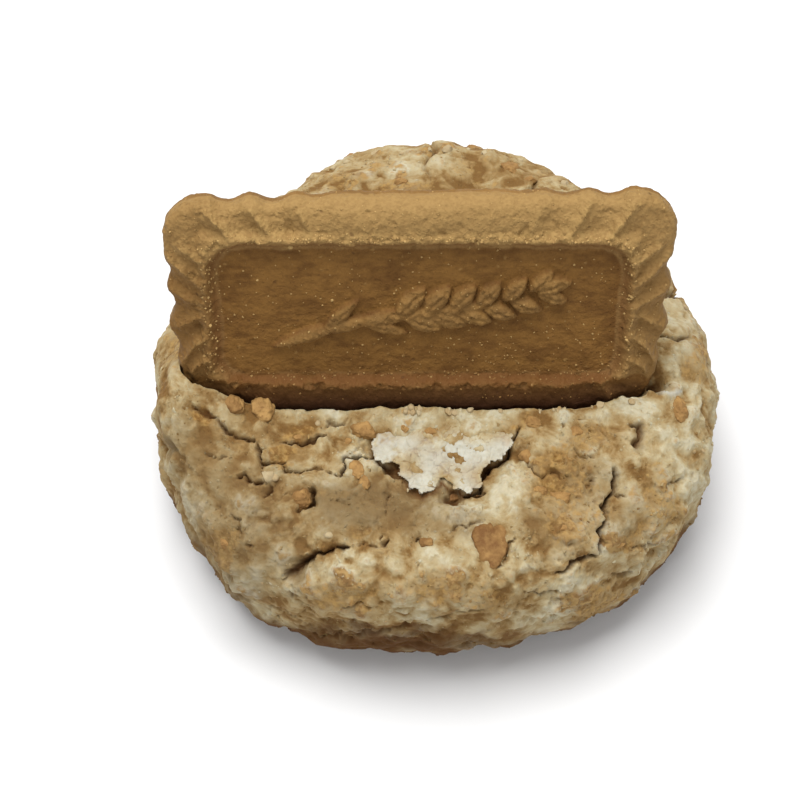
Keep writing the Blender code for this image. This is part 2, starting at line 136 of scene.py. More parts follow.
def addMesh(operator, **settings):  # one of Blender's own meshes, with nothing else selected
    bpy.ops.object.select_all(action="DESELECT")
    operator(**settings)
    return bpy.context.object


def addGrid(acrossCount, downCount):
    return addMesh(
        bpy.ops.mesh.primitive_grid_add, x_subdivisions=acrossCount, y_subdivisions=downCount, size=2,
    )


def selectVertices(item, chosen):  # leaves the item in edit mode
    selectOnly(item)
    bpy.ops.object.mode_set(mode="EDIT")
    bpy.ops.mesh.select_mode(type="VERT")
    bpy.ops.mesh.select_all(action="DESELECT")
    bpy.ops.object.mode_set(mode="OBJECT")
    item.data.vertices.foreach_set("select", chosen)
    bpy.ops.object.mode_set(mode="EDIT")


def applyModifier(item, kind, **settings):
    selectOnly(item)
    modifier = item.modifiers.new(kind.title(), kind)
    for name, value in settings.items():
        setattr(modifier, name, value)
    bpy.ops.object.modifier_apply(modifier=modifier.name)


def thinOut(item, triangles):
    count = sum(len(face.vertices) - 2 for face in item.data.polygons)
    applyModifier(item, "DECIMATE", ratio=min(1, triangles / count))


def getPoints(item):
    points = np.empty(len(item.data.vertices) * 3)
    item.data.vertices.foreach_get("co", points)
    return points.reshape(-1, 3)


def setPoints(item, points):
    item.data.vertices.foreach_set("co", np.asarray(points, float).ravel())
    item.data.update()


def setMask(item, name, values):  # a number at each vertex, which the materials read
    mask = item.data.attributes.get(name) or item.data.attributes.new(name, "FLOAT", "POINT")
    mask.data.foreach_set("value", np.asarray(values, np.float32))


def finishPiece(item, name, material, nodes=(), crease=180):
    item.name = name
    item.data.name = name
    setPoints(item, np.clip(getPoints(item) * metres, cadLow, cadHigh))  # never past the solids' box
    item.data.materials.clear()
    item.data.materials.append(material)
    selectOnly(item)
    bpy.ops.object.shade_smooth_by_angle(angle=math.radians(crease))
    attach(item, "root")
    if nodes:
        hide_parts(*nodes)
    print("made", name, len(item.data.polygons), "faces")


# where the camera stands, and what shows where in its picture

view = {
    "target": (0.0, 0.7, 14.0),
    "elevation": math.radians(60),
    "distance": 250.0,
    "lens": 82.26, "sensor": 36, "clipStart": 0.01,
    "shift": (-0.041875, -0.021875),
    "middle": (433.5, 382.5),  # the picture's pixel that shows the target
    "pixel": 0.13676,  # size of a pixel at the target
}
toEye = np.array((0, -math.cos(view["elevation"]), math.sin(view["elevation"])))
pictureUp = np.array((0, math.sin(view["elevation"]), math.cos(view["elevation"])))
eye = np.array(view["target"]) + toEye * view["distance"]


def seenAt(points):  # the pixel of an 800 by 800 picture at which each point shows
    offset = points - view["target"]
    scale = view["distance"] / (view["distance"] - offset @ toEye) / view["pixel"]
    across = view["middle"][0] + offset[:, 0] * scale
    down = view["middle"][1] - offset @ pictureUp * scale
    return np.stack((across, down), axis=1)


def rayThrough(across, down):  # the direction from the eye through a pixel
    aim = np.array(view["target"]) + pictureUp * (view["middle"][1] - down) * view["pixel"]
    aim[0] += (across - view["middle"][0]) * view["pixel"]
    return Vector(unit(aim - eye))


def hitAt(tree, across, down):  # the point and normal that the picture shows at a pixel
    spot, normal, _, _ = tree.ray_cast(Vector(eye), rayThrough(across, down))
    return spot, normal


def ovalDistance(spots, middle, halfWidth, halfHeight):  # 1 on the edge of an oval whose size is in mm
    offset = (spots - middle) * view["pixel"]
    return np.hypot(offset[:, 0] / halfWidth, offset[:, 1] / halfHeight)


def makeCamera():
    place = Vector(eye * metres)
    look = Vector(-toEye).to_track_quat("-Z", "Y").to_euler()
    bpy.ops.object.camera_add(location=place, rotation=look)
    camera = bpy.context.object
    camera.name = "photoCamera"
    camera.data.lens = view["lens"]
    camera.data.sensor_width = view["sensor"]
    camera.data.shift_x, camera.data.shift_y = view["shift"]
    camera.data.clip_start = view["clipStart"]
    bpy.context.scene.camera = camera
    print("camera set")


# the biscuit, in its own axes: x along, y up its face, z out of its face

biscuit = {
    "length": 63.0, "height": 31.0, "thickness": 5.5,
    "corner": 5.5, "backRounding": 2.0,
    "frameWidth": 6.65, "panelCorner": 3.2, "panelDepth": 1.2, "panelDrop": 1.3, "wallWidth": 1.5,
    "shoulderWidth": 3.6, "shoulderDrop": 2.6, "shoulderPower": 2.2,
    "crestRise": 0.20, "crestWidth": 0.75,
    "scallop": 0.95, "scallopWidth": 1.75,
    "rimReach": 3.5, "rimSlant": 0.018, "footSpread": 1.4, "sideBlend": 12.0,
    "cornerTuck": 1.4, "tuckBelow": (3, 9), "tuckBeyond": (20, 8), "frontGap": 0.45,
    # along the middle of the long sides the frame is faint: how much, and within which x above and below
    "frameFaint": 0.15, "frameClear": (9, 17), "frameFade": 8,
    "centre": (-1.7, -3.5, 38.5), "lean": 66.4, "turn": 1.0, "roll": -0.55,
    "step": 0.18,  # size of its mesh's faces
    "triangles": 190000,
    # uneven places, each with its size, height and start
    "rimWaves": ((1.6, 0.15, (0, 0, 0)), (0.7, 0.13, (5, 1, 2))),
    "panelWaves": ((2.6, 0.26, (4, 0, 1)), (0.9, 0.18, (0, 7, 1))),
    "lumps": ((5.0, 0.16, (3, 3, 8)), (2.4, 0.10, (1, 6, 0))),
    "sandSize": 0.85, "sandHeight": 0.07, "granuleSize": 0.55, "granuleHeight": 0.3,
    "dentSize": 1.5, "dentDepth": 0.4,
    "dustAndHighlightAbove": (5, 4),  # y from which its crumb gets dust and painted highlight, and over which length
    # where the frame is baked darker: x from which, y below which, and how much on the left and right
    "sideBeyond": (22, 5), "sideBelow": (10, 7), "sideDark": (0.75, 0.42),
}
# narrow ridges pressed into the frame; each corner has the same, mirrored
ridges = {
    # along a long side, in mm from its corner: at the outline and at the crest, and how plain it is
    "long": ((5.4, 8.7, 1.0), (11.0, 13.6, 1.0), (16.7, 18.6, 0.8), (22.4, 23.8, 0.4), (28.2, 28.9, 0.2)),
    "short": ((7.8, 11.9, 1.0), (12.6, 15.0, 0.85)),  # and along a short side
    "corner": ((2.4, 6.5), (5.6, 8.9)),
    "outline": 0.3, "crest": 5.0, "relief": 1.45, "width": 0.8,
    "lowerShare": 0.6, "scallopStart": 1.5,
}
ear = {
    "length": 33.0, "rise": 8.5, "bend": 0.8,
    "pairs": 6, "grainLength": 5.6, "grainWidth": 2.9, "grainAngle": 34,
    "firstGrain": 0.42, "lastGrain": 0.92,
    "stemWidth": 2.2, "stemPieces": 5, "stemEnd": 0.72,
    "leafLength": 6.8, "leafWidth": 1.9, "leafAngle": 30, "leaves": ((0.13, 1), (0.27, -1)),
    "relief": 1.3,
}


def biscuitPlace():
    lean = Matrix.Rotation(math.radians(biscuit["lean"]), 4, "X")
    turn = Matrix.Rotation(math.radians(biscuit["turn"]), 4, "Y")
    roll = Matrix.Rotation(math.radians(biscuit["roll"]), 4, "Z")
    return Matrix.Translation(biscuit["centre"]) @ lean @ turn @ roll


def ridgeHeight(x, y):  # 1 along the middle of each ridge, 0 in the hollows
    fromShort, fromLong = biscuit["length"] / 2 - np.abs(x), biscuit["height"] / 2 - np.abs(y)
    lower = np.where(y < 0, ridges["lowerShare"], 1.0)
    outline, crest, height = ridges["outline"], ridges["crest"], np.zeros_like(x)

    def press(start, end, strength):
        nonlocal height
        run = np.array(end) - start
        along = (fromShort - start[0]) * run[0] + (fromLong - start[1]) * run[1]
        share = np.clip(along / (run @ run), 0, 1)
        away = np.hypot(start[0] + share * run[0] - fromShort, start[1] + share * run[1] - fromLong)
        height = np.maximum(height, strength * np.exp(-away / ridges["width"]))

    for outer, inner, strength in ridges["long"]:
        atCorner = outer < biscuit["frameWidth"]
        press((outer, outline), (inner, crest), strength * (1 if atCorner else lower))
    for outer, inner, strength in ridges["short"]:
        press((outline, outer), (crest, inner), strength)
    press(*ridges["corner"], 0.9)
    return height


def scallopDepth(x, y):  # 0 where a ridge meets the outline and round the corner, 1 between ridges
    fromShort, fromLong = biscuit["length"] / 2 - np.abs(x), biscuit["height"] / 2 - np.abs(y)

    def notch(along, rows):
        bulge = sum(np.exp(-((along - row[0]) / biscuit["scallopWidth"]) ** 2) for row in rows)
        return np.clip(1 - bulge, 0, 1) * ramp(along, rows[0][0], ridges["scallopStart"])

    onLong, onShort = notch(fromShort, ridges["long"]), notch(fromLong, ridges["short"])
    return np.where(fromShort > fromLong, onLong, onShort)


def frameStrength(x, y):  # full at the short sides and corners, faint along the middle of the long ones
    clear, faint = np.where(y > 0, *biscuit["frameClear"]), biscuit["frameFaint"]
    return faint + (1 - faint) * ramp(np.abs(x), clear, biscuit["frameFade"])


def fromEdge(x, y, halfX, halfY, corner):  # depth inside a rounded rectangle, and the way inwards
    qx, qy = np.abs(x) - (halfX - corner), np.abs(y) - (halfY - corner)
    atCorner = (qx > 0) & (qy > 0)
    length = np.maximum(np.hypot(qx, qy), 1e-6)
    sideways = ~atCorner & (qx > qy)
    depth = np.where(atCorner, corner - length, corner - np.maximum(qx, qy))
    inX = np.where(atCorner, -qx / length, np.where(sideways, -1, 0)) * np.sign(x)
    inY = np.where(atCorner, -qy / length, np.where(sideways, 0, -1)) * np.sign(y)
    return depth, inX, inY


def earHeight(x, y):  # low relief of a wheat ear, above the panel
    def stem(share):
        bend = ear["bend"] * math.sin(share * 2 * math.pi)
        return np.array(((share - 0.5) * ear["length"], (share - 0.5) * ear["rise"] + bend))

    height = np.zeros_like(x)

    def pip(middle, angle, length, width, rise, crease):
        nonlocal height
        along = ((x - middle[0]) * math.cos(angle) + (y - middle[1]) * math.sin(angle)) * 2 / length
        across = ((y - middle[1]) * math.cos(angle) - (x - middle[0]) * math.sin(angle)) * 2 / width
        taper = np.maximum(1 - 0.5 * along ** 2, 0.3)
        crown = np.clip(1 - along ** 2 - (across / taper) ** 2, 0, 1)
        body = rise * crown ** 0.45
        body -= crease * rise * np.exp(-(across / 0.16) ** 2) * crown * smooth(crown * 3)
        height = np.maximum(height, body)

    heading = math.atan2(ear["rise"], ear["length"])
    for index in range(ear["stemPieces"]):
        start = stem(ear["stemEnd"] * index / ear["stemPieces"] - 0.02)
        end = stem(ear["stemEnd"] * (index + 1) / ear["stemPieces"] + 0.02)
        run = end - start
        angle = math.atan2(run[1], run[0])
        pip((start + end) / 2, angle, np.hypot(*run) * 1.5, ear["stemWidth"], ear["relief"] * 0.8, 0)
    for index in range(ear["pairs"]):
        share = ear["firstGrain"] + (ear["lastGrain"] - ear["firstGrain"]) * index / (ear["pairs"] - 1)
        size = 1 - 0.25 * index / ear["pairs"]
        for side in (1, -1):
            angle = heading + side * math.radians(ear["grainAngle"])
            away = np.array((math.cos(angle), math.sin(angle))) * ear["grainLength"] * 0.5 * size
            middle = stem(share - 0.012 * side) + away
            pip(middle, angle, ear["grainLength"] * size, ear["grainWidth"] * size, ear["relief"], 0.22)
    pip(stem(0.99), heading, ear["grainLength"], ear["grainWidth"] * 0.85, ear["relief"], 0.22)
    for share, side in ear["leaves"]:
        angle = heading + side * math.radians(ear["leafAngle"])
        middle = stem(share) + np.array((math.cos(angle), math.sin(angle))) * ear["leafLength"] * 0.47
        pip(middle, angle, ear["leafLength"], ear["leafWidth"], ear["relief"] * 0.8, 0.15)
    return height


def makeSlab(name, step):  # a closed box of even faces: a grid extruded back four times
    slab = addGrid(round(biscuit["length"] / step), round(biscuit["height"] / step))
    slab.name = name
    bpy.ops.object.mode_set(mode="EDIT")
    bpy.ops.mesh.select_all(action="SELECT")
    for _ in range(4):
        bpy.ops.mesh.extrude_region_move(TRANSFORM_OT_translate={"value": (0, 0, 1)})
    bpy.ops.mesh.select_all(action="SELECT")
    bpy.ops.mesh.normals_make_consistent(inside=False)
    bpy.ops.object.mode_set(mode="OBJECT")
    return slab


def shapeSlab(slab, gap=0.0, plain=False):
    raw = getPoints(slab)
    level = np.round(raw[:, 2]).astype(int)  # 4 on the face, 0 on the back
    front, back = level == 4, level == 0
    halfX, halfY = biscuit["length"] / 2, biscuit["height"] / 2
    corner = biscuit["corner"]
    x, y = raw[:, 0] * halfX, raw[:, 1] * halfY

    # square corners pressed round
    u = np.clip((np.abs(x) - halfX + corner) / corner, 0, 1)
    v = np.clip((np.abs(y) - halfY + corner) / corner, 0, 1)
    rounding = (u > 0) & (v > 0)
    x = np.where(rounding, np.sign(x) * (halfX - corner + corner * u * np.sqrt(1 - v * v / 2)), x)
    y = np.where(rounding, np.sign(y) * (halfY - corner + corner * v * np.sqrt(1 - u * u / 2)), y)

    # rows of faces near the rim follow its rounding to the face and to the back
    depth, inX, inY = fromEdge(x, y, halfX, halfY, corner)
    depth = np.maximum(depth, 0)
    turn = np.clip(depth / biscuit["shoulderWidth"], 0, 1) * math.pi / 2
    power = 2 / biscuit["shoulderPower"]
    frontInset = biscuit["shoulderWidth"] * (1 - np.cos(turn) ** power)
    frontZ = -biscuit["shoulderDrop"] * (1 - np.sin(turn) ** power)
    backTurn = np.clip(depth / biscuit["backRounding"], 0, 1) * math.pi / 2
    backInset = biscuit["backRounding"] * (1 - np.cos(backTurn))
    backZ = -biscuit["thickness"] + biscuit["backRounding"] * (1 - np.sin(backTurn))
    sideTop = -biscuit["shoulderDrop"]
    sideFoot = -biscuit["thickness"] + biscuit["backRounding"]
    sideZ = sideFoot + (sideTop - sideFoot) * level / 4
    z = np.where(front, frontZ, np.where(back, backZ, sideZ))
    nearFront = front & (depth < biscuit["shoulderWidth"])
    nearBack = back & (depth < biscuit["backRounding"])
    inset = np.where(nearFront, frontInset, np.where(nearBack, backInset, np.where(front | back, depth, 0)))
    x = x + inX * (inset - depth) * (nearFront | nearBack)
    y = y + inY * (inset - depth) * (nearFront | nearBack)

    # scallops, a foot that spreads, and a rim that slants
    edge = 1 - smooth(inset / biscuit["rimReach"])
    flat = np.stack((x, y, z * 0), axis=1)
    strength = frameStrength(x, y)
    inward = biscuit["scallop"] * scallopDepth(x, y) * strength + 0.2 * (1 + waves(flat, 4.0)) - gap
    tuck = biscuit["cornerTuck"] * ramp(-y, *biscuit["tuckBelow"]) * ramp(np.abs(x), *biscuit["tuckBeyond"])
    slant = biscuit["rimSlant"] * x * smooth(y / biscuit["sideBlend"])
    rimShift = slant - biscuit["footSpread"] * smooth(-y / biscuit["sideBlend"])
    points = np.stack((x, y, z), axis=1)
    points[:, 0] += (inX * inward - np.sign(x) * tuck) * edge
    points[:, 1] += (inY * inward + rimShift) * edge
    if plain:
        ragged = layeredWaves(points, biscuit["rimWaves"])
        points[:, 0] -= inX * ragged * edge
        points[:, 1] -= inY * ragged * edge
        points[:, 2] += np.where(front, biscuit["frontGap"] + ragged * 0.6, np.where(back, -gap, 0))
        setPoints(slab, points)
        return

    # ribbed frame round a sunk panel
    ridge = ridgeHeight(x, y)
    ribWindow = ramp(inset, -0.6, 2.6) * (1 - ramp(inset, 3.9, 1.5)) * front * strength
    ribWindow = ribWindow * (0.75 + 0.35 * waves(flat, 7.0, (2, 2, 5)))
    hollow = ridges["relief"] * (1 - ridge) * ribWindow
    panelX, panelY = halfX - biscuit["frameWidth"], halfY - biscuit["frameWidth"]
    lowered = biscuit["panelDrop"] / 2
    panelIn, _, _ = fromEdge(x, y + lowered, panelX, panelY + lowered, biscuit["panelCorner"])
    panelIn = panelIn + layeredWaves(flat, biscuit["panelWaves"])
    lower = ramp(-y, panelY, 2.0)  # the crest is narrow and low along the bottom
    wallWidth = biscuit["wallWidth"] * (1 - 0.4 * lower)
    wall = ramp(panelIn, -wallWidth, wallWidth) * front
    onPanel = smooth(panelIn / 0.4) * front
    raised = earHeight(x, y + lowered) * onPanel
    crestWidth = biscuit["crestWidth"] * (1 - 0.4 * lower)
    crest = np.exp(-((panelIn + wallWidth + 0.3) / crestWidth) ** 2) * front
    crest = crest * (0.75 + 0.5 * waves(flat, 4.0, (6, 2, 2)))

    # surface: slightly wavy, sandy, and crumbly along the crest
    around = points.copy()
    near, _, lot = cells(around + drift(around, 0.9) * 0.35, biscuit["sandSize"])
    sandy = biscuit["sandHeight"] * (roundedLump(near, 0.75) * lot * 2 - 0.5) + 0.03 * waves(around, 1.3)
    lumpy = layeredWaves(around, biscuit["lumps"])
    near, _, lot = cells(around + drift(around, 0.7) * 0.3, biscuit["granuleSize"])
    granules = roundedLump(near, 0.7) * ramp(lot, 0.3, 0.3) * biscuit["granuleHeight"]
    onFrame = (1 - onPanel) * front
    crumbly = np.clip(crest + 0.7 * smooth(raised / 0.6) + 0.45 * ribWindow * ridge + 0.4 * onFrame, 0, 1)
    dents = biscuit["dentDepth"] * ramp(waves(around, biscuit["dentSize"], (8, 2, 5)), 0.30, 0.2)
    dents = dents * (0.15 + 0.85 * crumbly)
    relief = sandy * (0.5 + crumbly) + lumpy * (1 - 0.6 * onPanel) + granules * crumbly - dents
    crestLift = biscuit["crestRise"] * crest * (1 + waves(around, 1.1, (7, 7, 1)))
    points[:, 2] += np.where(front, crestLift - hollow - biscuit["panelDepth"] * wall + raised + relief, 0)
    points[:, 2] -= np.where(back, sandy + 0.6 * lumpy, 0)
    rim = inset < 0.4
    points[:, 0] -= inX * (sandy + 0.5 * lumpy) * rim
    points[:, 1] -= inY * (sandy + 0.5 * lumpy) * rim
    setPoints(slab, points)

    # masks for its material
    below = -y - panelY - biscuit["panelDrop"]
    # painted shade, near black at the biscuit's bottom edge by the dough's lip, partly also toasted darker
    footShadeAndToast = (0.55 * ramp(below, 0.6, 1.5) + 0.45 * ramp(below, 1.9, 2.2)) * front
    sideStart, sideLength = biscuit["sideBelow"]
    sides = ramp(np.abs(x), *biscuit["sideBeyond"]) * (0.35 + 0.65 * smooth((sideStart - y) / sideLength))
    sides = sides * np.where(x < 0, *biscuit["sideDark"]) * front
    # the frame's sides are baked darker; below the panel the frame is darker as painted shade near the dough
    lowerFrame = np.maximum(sides, ramp(below, -0.6, 0.8) * front)
    # dust on the crumbly crest, relief and ridges, with painted highlight on them, stronger towards the top
    dustAndHighlight = crumbly * (0.3 + 0.7 * ramp(y, *biscuit["dustAndHighlightAbove"])) + 0.55 * ribWindow * ridge ** 2
    dustAndHighlight = np.clip(dustAndHighlight, 0, 1)
    setMask(slab, "dustAndHighlight", dustAndHighlight)
    # painted shade in the hollows between the ridges
    setMask(slab, "ribHollowShade", hollow / ridges["relief"])
    # painted shade along the panel's walls, laid on in red
    setMask(slab, "wall", np.exp(-((panelIn + 0.45) / 0.75) ** 2) * front)
    setMask(slab, "onPanel", np.where(back, 0.7, onPanel))
    setMask(slab, "raised", smooth(raised / ear["relief"]))
    # painted shade round the raised ear's edges, laid on in red
    setMask(slab, "reliefRimShade", np.exp(-((raised - 0.3) / 0.28) ** 2) * (raised > 0.02))
    setMask(slab, "footShadeAndToast", footShadeAndToast)
    setMask(slab, "lowerFrame", lowerFrame)


def makeBiscuit(material):
    slab = makeSlab("ribbedBiscuit", biscuit["step"])
    shapeSlab(slab)
    thinOut(slab, biscuit["triangles"])
    slab.data.transform(biscuitPlace())
    finishPiece(slab, "ribbedBiscuit", material, ["biscuit"])
    return slab


# the dough

dough = {
    "radius": 37.6, "height": 27.0, "widestLevel": 9.4, "baseShare": 0.85,
    "topRoundness": 4.0, "sideRoundness": 2.5, "baseEdge": 2.5,
    "outlineWaves": ((2, 0.30, 0.0), (3, 0.12, -0.95), (4, 0.01, -0.13), (5, -0.02, 0.20)),
    "waviness": ((12.0, 0.80, (3, 5, 2)), (5.5, 0.84, (1, 8, 6)), (2.8, 0.46, (0, 0, 0))),
    # where it stands higher or sags: x, y, reach and rise
    "swells": (
        (-32.0, -7.0, 9.0, 4.0), (35.0, -4.5, 8.0, 2.6), (0.0, 8.0, 17.0, 1.2),
        (-11.0, -14.0, 12.0, -2.3), (10.0, -14.0, 13.0, -2.7), (-35.0, -9.5, 4.5, 3.4),
    ),
    "frontEnd": 1.0, "frontFade": 6.0, "grazing": 0.12, "grazingFade": 0.25,
    "plateSize": 17.0, "plateCrackDepth": 1.3, "plateCrackWidth": 0.06, "platePatch": 14.0,
    "ledgeReach": 1.8,
    "smallPlate": 5.5, "smallPlateShift": 0.4, "fissureDepth": 0.3, "fissureWidth": 0.06,
    # crumb of three sizes: size in mm, height and share of the cells that stand up
    "crumb": ((3.2, 0.72, 0.9), (1.6, 0.60, 0.85), (0.85, 0.24, 0.8)),
    "crumbSunk": 0.34, "pitSize": 1.3, "pitDepth": 0.25, "smootherBelow": (4, 9),
    # how ragged the cracks and the patches of colour are: size in mm, reach in pixels and start
    "crackRagged": ((1.7, 4.2, 0), (0.7, 2.6, 40)),
    "patchRagged": ((3.0, 9, 0), (1.1, 4, 20)),
    "bakedAndShadedBelow": 11.5, "bakedAndShadedFade": 6.0,
    "gap": 0.12, "slotStep": 0.5,  # room round the biscuit, and the size of the slot's faces
    "fineness": 8, "crowdTo": (0.0, -0.14, 0.37),  # its faces are smaller on this side
    "triangles": 192000,
    "wear": 0.22, "wearRounds": 2,  # how far its sharpest crumb is smoothed
    "keptAt": -30.0,  # the y of a point on its front, to tell it from scraps
}

# cracks, as they show in the picture: half width, depth and how much higher the left bank stands,
# in mm, then the pixels they run through
cracks = (
    (0.58, 2.6, 0.25, ((618, 470), (618, 476), (615, 485), (618, 493), (610, 500), (606, 507), (608, 518),
                       (603, 530), (603, 543), (600, 556))),
    (0.30, 1.2, 0.0, ((618, 494), (625, 497))),
    (0.32, 1.5, -0.2, ((599, 558), (590, 561), (580, 563), (573, 566), (567, 572), (558, 575))),
    (0.80, 1.6, 0.2, ((633, 425), (640, 427), (640, 434), (636, 443), (638, 449))),
    (0.36, 2.2, 0.3, ((519, 428), (514, 434), (511, 446), (506, 455), (494, 463), (486, 467), (483, 474),
                      (481, 486), (473, 491), (466, 494))),
    (0.32, 1.5, 0.2, ((466, 494), (476, 493), (486, 490))),
    (0.34, 1.9, 0.3, ((341, 474), (343, 463), (347, 459), (358, 458), (375, 456))),
    (0.95, 1.5, 0.0, ((382, 463), (388, 467), (393, 470), (399, 474))),
    (0.70, 1.2, 0.3, ((193, 409), (200, 413), (208, 416), (214, 420))),
    (0.38, 1.6, 0.45, ((214, 420), (221, 427), (234, 437), (246, 439), (258, 442))),
    (0.45, 1.7, -0.3, ((258, 442), (260, 453), (263, 462), (271, 464), (282, 461))),
    (0.40, 1.3, 0.6, ((280, 441), (295, 442), (307, 442), (316, 440), (326, 437))),
    (0.30, 0.8, 0.3, ((326, 425), (336, 424), (346, 421))),
    (0.34, 1.3, 0.3, ((230, 478), (241, 477), (247, 481), (253, 484), (262, 484))),
    (0.32, 1.2, -0.2, ((262, 466), (266, 478), (269, 488), (263, 496), (259, 502))),
    (0.30, 1.1, 0.2, ((281, 463), (285, 472), (291, 474), (301, 470))),
    (0.28, 0.9, 0.3, ((301, 470), (320, 469), (337, 475), (344, 473))),
    (0.42, 1.9, 0.2, ((311, 486), (314, 494), (309, 502), (303, 508), (296, 513))),
    (0.36, 1.9, -0.5, ((352, 547), (337, 549), (325, 551), (316, 554))),
    (0.90, 2.0, -0.5, ((320, 553), (311, 557), (303, 563), (298, 570), (290, 578), (283, 583))),
    (0.25, 0.9, -0.4, ((352, 547), (365, 546), (379, 547))),
    (0.38, 1.3, 0.0, ((382, 546), (389, 543))),
    (0.25, 0.8, 0.25, ((391, 495), (385, 500), (384, 508), (384, 516))),
    (0.28, 0.9, 0.2, ((384, 532), (382, 542))),
    (0.40, 1.5, 0.2, ((415, 545), (418, 541), (422, 539))),
    (0.25, 0.7, 0.2, ((448, 531), (465, 527), (483, 522))),
    (0.30, 0.9, 0.25, ((512, 540), (509, 553), (503, 565), (497, 573))),
    (0.30, 0.9, 0.0, ((246, 545), (252, 549))),
    (0.34, 0.9, 0.5, ((313, 637), (350, 636), (381, 633), (404, 628), (430, 621), (458, 614), (484, 610))),
    (0.30, 0.8, 0.2, ((592, 428), (597, 430))),
    (0.30, 0.8, 0.2, ((560, 426), (566, 427))),
    (0.30, 0.8, 0.3, ((610, 580), (620, 578), (632, 574))),
    (0.28, 0.7, 0.2, ((420, 560), (417, 572), (420, 583))),
    (0.28, 0.7, 0.2, ((292, 596), (290, 602))),
    (0.28, 0.7, 0.2, ((283, 611), (287, 615))),
    (0.28, 0.7, 0.2, ((220, 506), (219, 514))),
    (0.28, 0.8, 0.35, ((528, 470), (541, 476), (556, 474), (566, 480))),
    (0.26, 0.7, 0.3, ((574, 447), (583, 455), (596, 458))),
    (0.26, 0.7, 0.3, ((640, 484), (652, 489), (668, 486), (683, 478))),
    (0.26, 0.7, 0.3, ((200, 452), (214, 460), (226, 459))),
    (0.26, 0.7, 0.3, ((232, 512), (241, 522), (243, 536))),
    (0.26, 0.7, 0.3, ((520, 592), (541, 596), (563, 592))),
    (0.26, 0.7, 0.3, ((340, 610), (356, 604), (372, 607))),
    (0.28, 0.8, 0.35, ((596, 478), (588, 487), (590, 497))),
    (0.26, 0.7, 0.3, ((660, 540), (648, 549), (634, 551))),
)

# crust lifted off in one torn, thin flake: its outline, from its top left round
flake = {
    "outline": (
        (370, 414), (373, 430), (371, 444), (375, 457), (383, 465), (391, 463), (396, 466), (399, 475),
        (406, 481), (411, 487), (417, 490), (422, 496), (428, 493), (433, 489), (437, 484), (441, 480),
        (447, 484), (453, 488), (459, 490), (466, 495), (472, 491), (478, 490), (482, 486), (482, 476),
        (485, 467), (493, 463), (499, 460), (506, 455), (510, 447), (513, 436), (517, 426), (519, 414),
    ),
    "freeBelow": 432, "freeWithin": 22,  # picture rows from which its edge stands free
    "thickness": 0.5, "lift": 0.62, "curl": 0.3, "curlReach": 1.2, "sunkTop": 0.35,
    "outward": (0, -0.42, 0.9), "margin": 4,  # pixels round it
    "folds": ((4.5, 0.30, (3, 1, 1)), (1.9, 0.16, (0, 0, 0)), (0.8, 0.08, (0, 0, 0))),
    "ragged": ((1.4, 3.4, 0), (0.5, 3.0, 40)), "plateSize": 1.5,
    "bedSink": 0.75, "bedReach": 1.5,
    # golden spots on it: pixel, half width and half height in mm, strength
    "golden": (((431, 433), 1.3, 0.9, 0.75), ((399, 431), 1.0, 0.7, 0.5), ((502, 441), 0.9, 0.9, 0.7),
               ((490, 426), 1.1, 0.6, 0.6), ((424, 448), 0.7, 0.7, 0.3), ((478, 470), 1.4, 0.6, 0.35)),
    "white": (((387, 450), 2.0, 2.0, 0.6), ((429, 458), 1.6, 2.4, 0.45), ((499, 456), 1.3, 0.6, 0.6),
              ((458, 470), 1.6, 1.6, 0.35), ((470, 440), 2.0, 1.0, 0.3)),
    "step": 0.15,  # size of its mesh's faces
}

# raised and hollow places: pixel, half width and half height in mm, and rise
bumps = (
    ((404, 584), 14.0, 5.0, 1.3), ((452, 496), 2.0, 1.3, -2.2), ((311, 499), 1.7, 1.8, -1.4),
    ((594, 609), 7.0, 3.0, 0.5), ((236, 543), 6.0, 6.0, 0.5), ((543, 529), 6.0, 5.0, 0.6),
    ((404, 503), 4.6, 2.2, -0.7), ((168, 450), 2.0, 1.2, -1.3), ((706, 394), 2.4, 2.4, 0.4),
    ((660, 381), 2.2, 1.3, -3.6), ((298, 571), 2.4, 1.6, -0.8), ((678, 395), 2.2, 1.4, -0.5),
    ((270, 476), 1.3, 0.9, 0.5), ((640, 452), 1.2, 0.8, -0.6), ((563, 478), 4.5, 4.0, 0.35),
    ((230, 470), 3.0, 2.0, 0.3),
)


def plainDough(rays):  # the smooth slab where each ray from its middle meets it, and its normal
    across = np.hypot(rays[:, 0], rays[:, 1])
    angle = np.arctan2(rays[:, 1], rays[:, 0])
    radius = np.full(len(rays), dough["radius"])
    for lobes, cosine, sine in dough["outlineWaves"]:
        radius += cosine * np.cos(lobes * angle) + sine * np.sin(lobes * angle)
    top = rays[:, 2] > 0
    level = dough["widestLevel"]
    power = np.where(top, dough["topRoundness"], dough["sideRoundness"])
    footRise = level / (1 - dough["baseShare"] ** dough["sideRoundness"]) ** (1 / dough["sideRoundness"])
    rise = np.where(top, dough["height"] - level, footRise)
    side, climb = across / radius, np.abs(rays[:, 2]) / rise
    reach = (side ** power + climb ** power) ** (-1 / power)
    outward = side ** (power - 1) / radius / np.maximum(across, 1e-6)
    upward = np.sign(rays[:, 2]) * climb ** (power - 1) / rise
    normals = unit(np.stack((rays[:, 0] * outward, rays[:, 1] * outward, upward), axis=1))
    points = rays * reach[:, None]
    below = points[:, 2] <= -level
    points[below] = rays[below] * (level / -rays[below, 2])[:, None]
    normals[below] = (0, 0, -1)
    points[:, 2] += level
    points[below, 2] = 0
    return points, normals


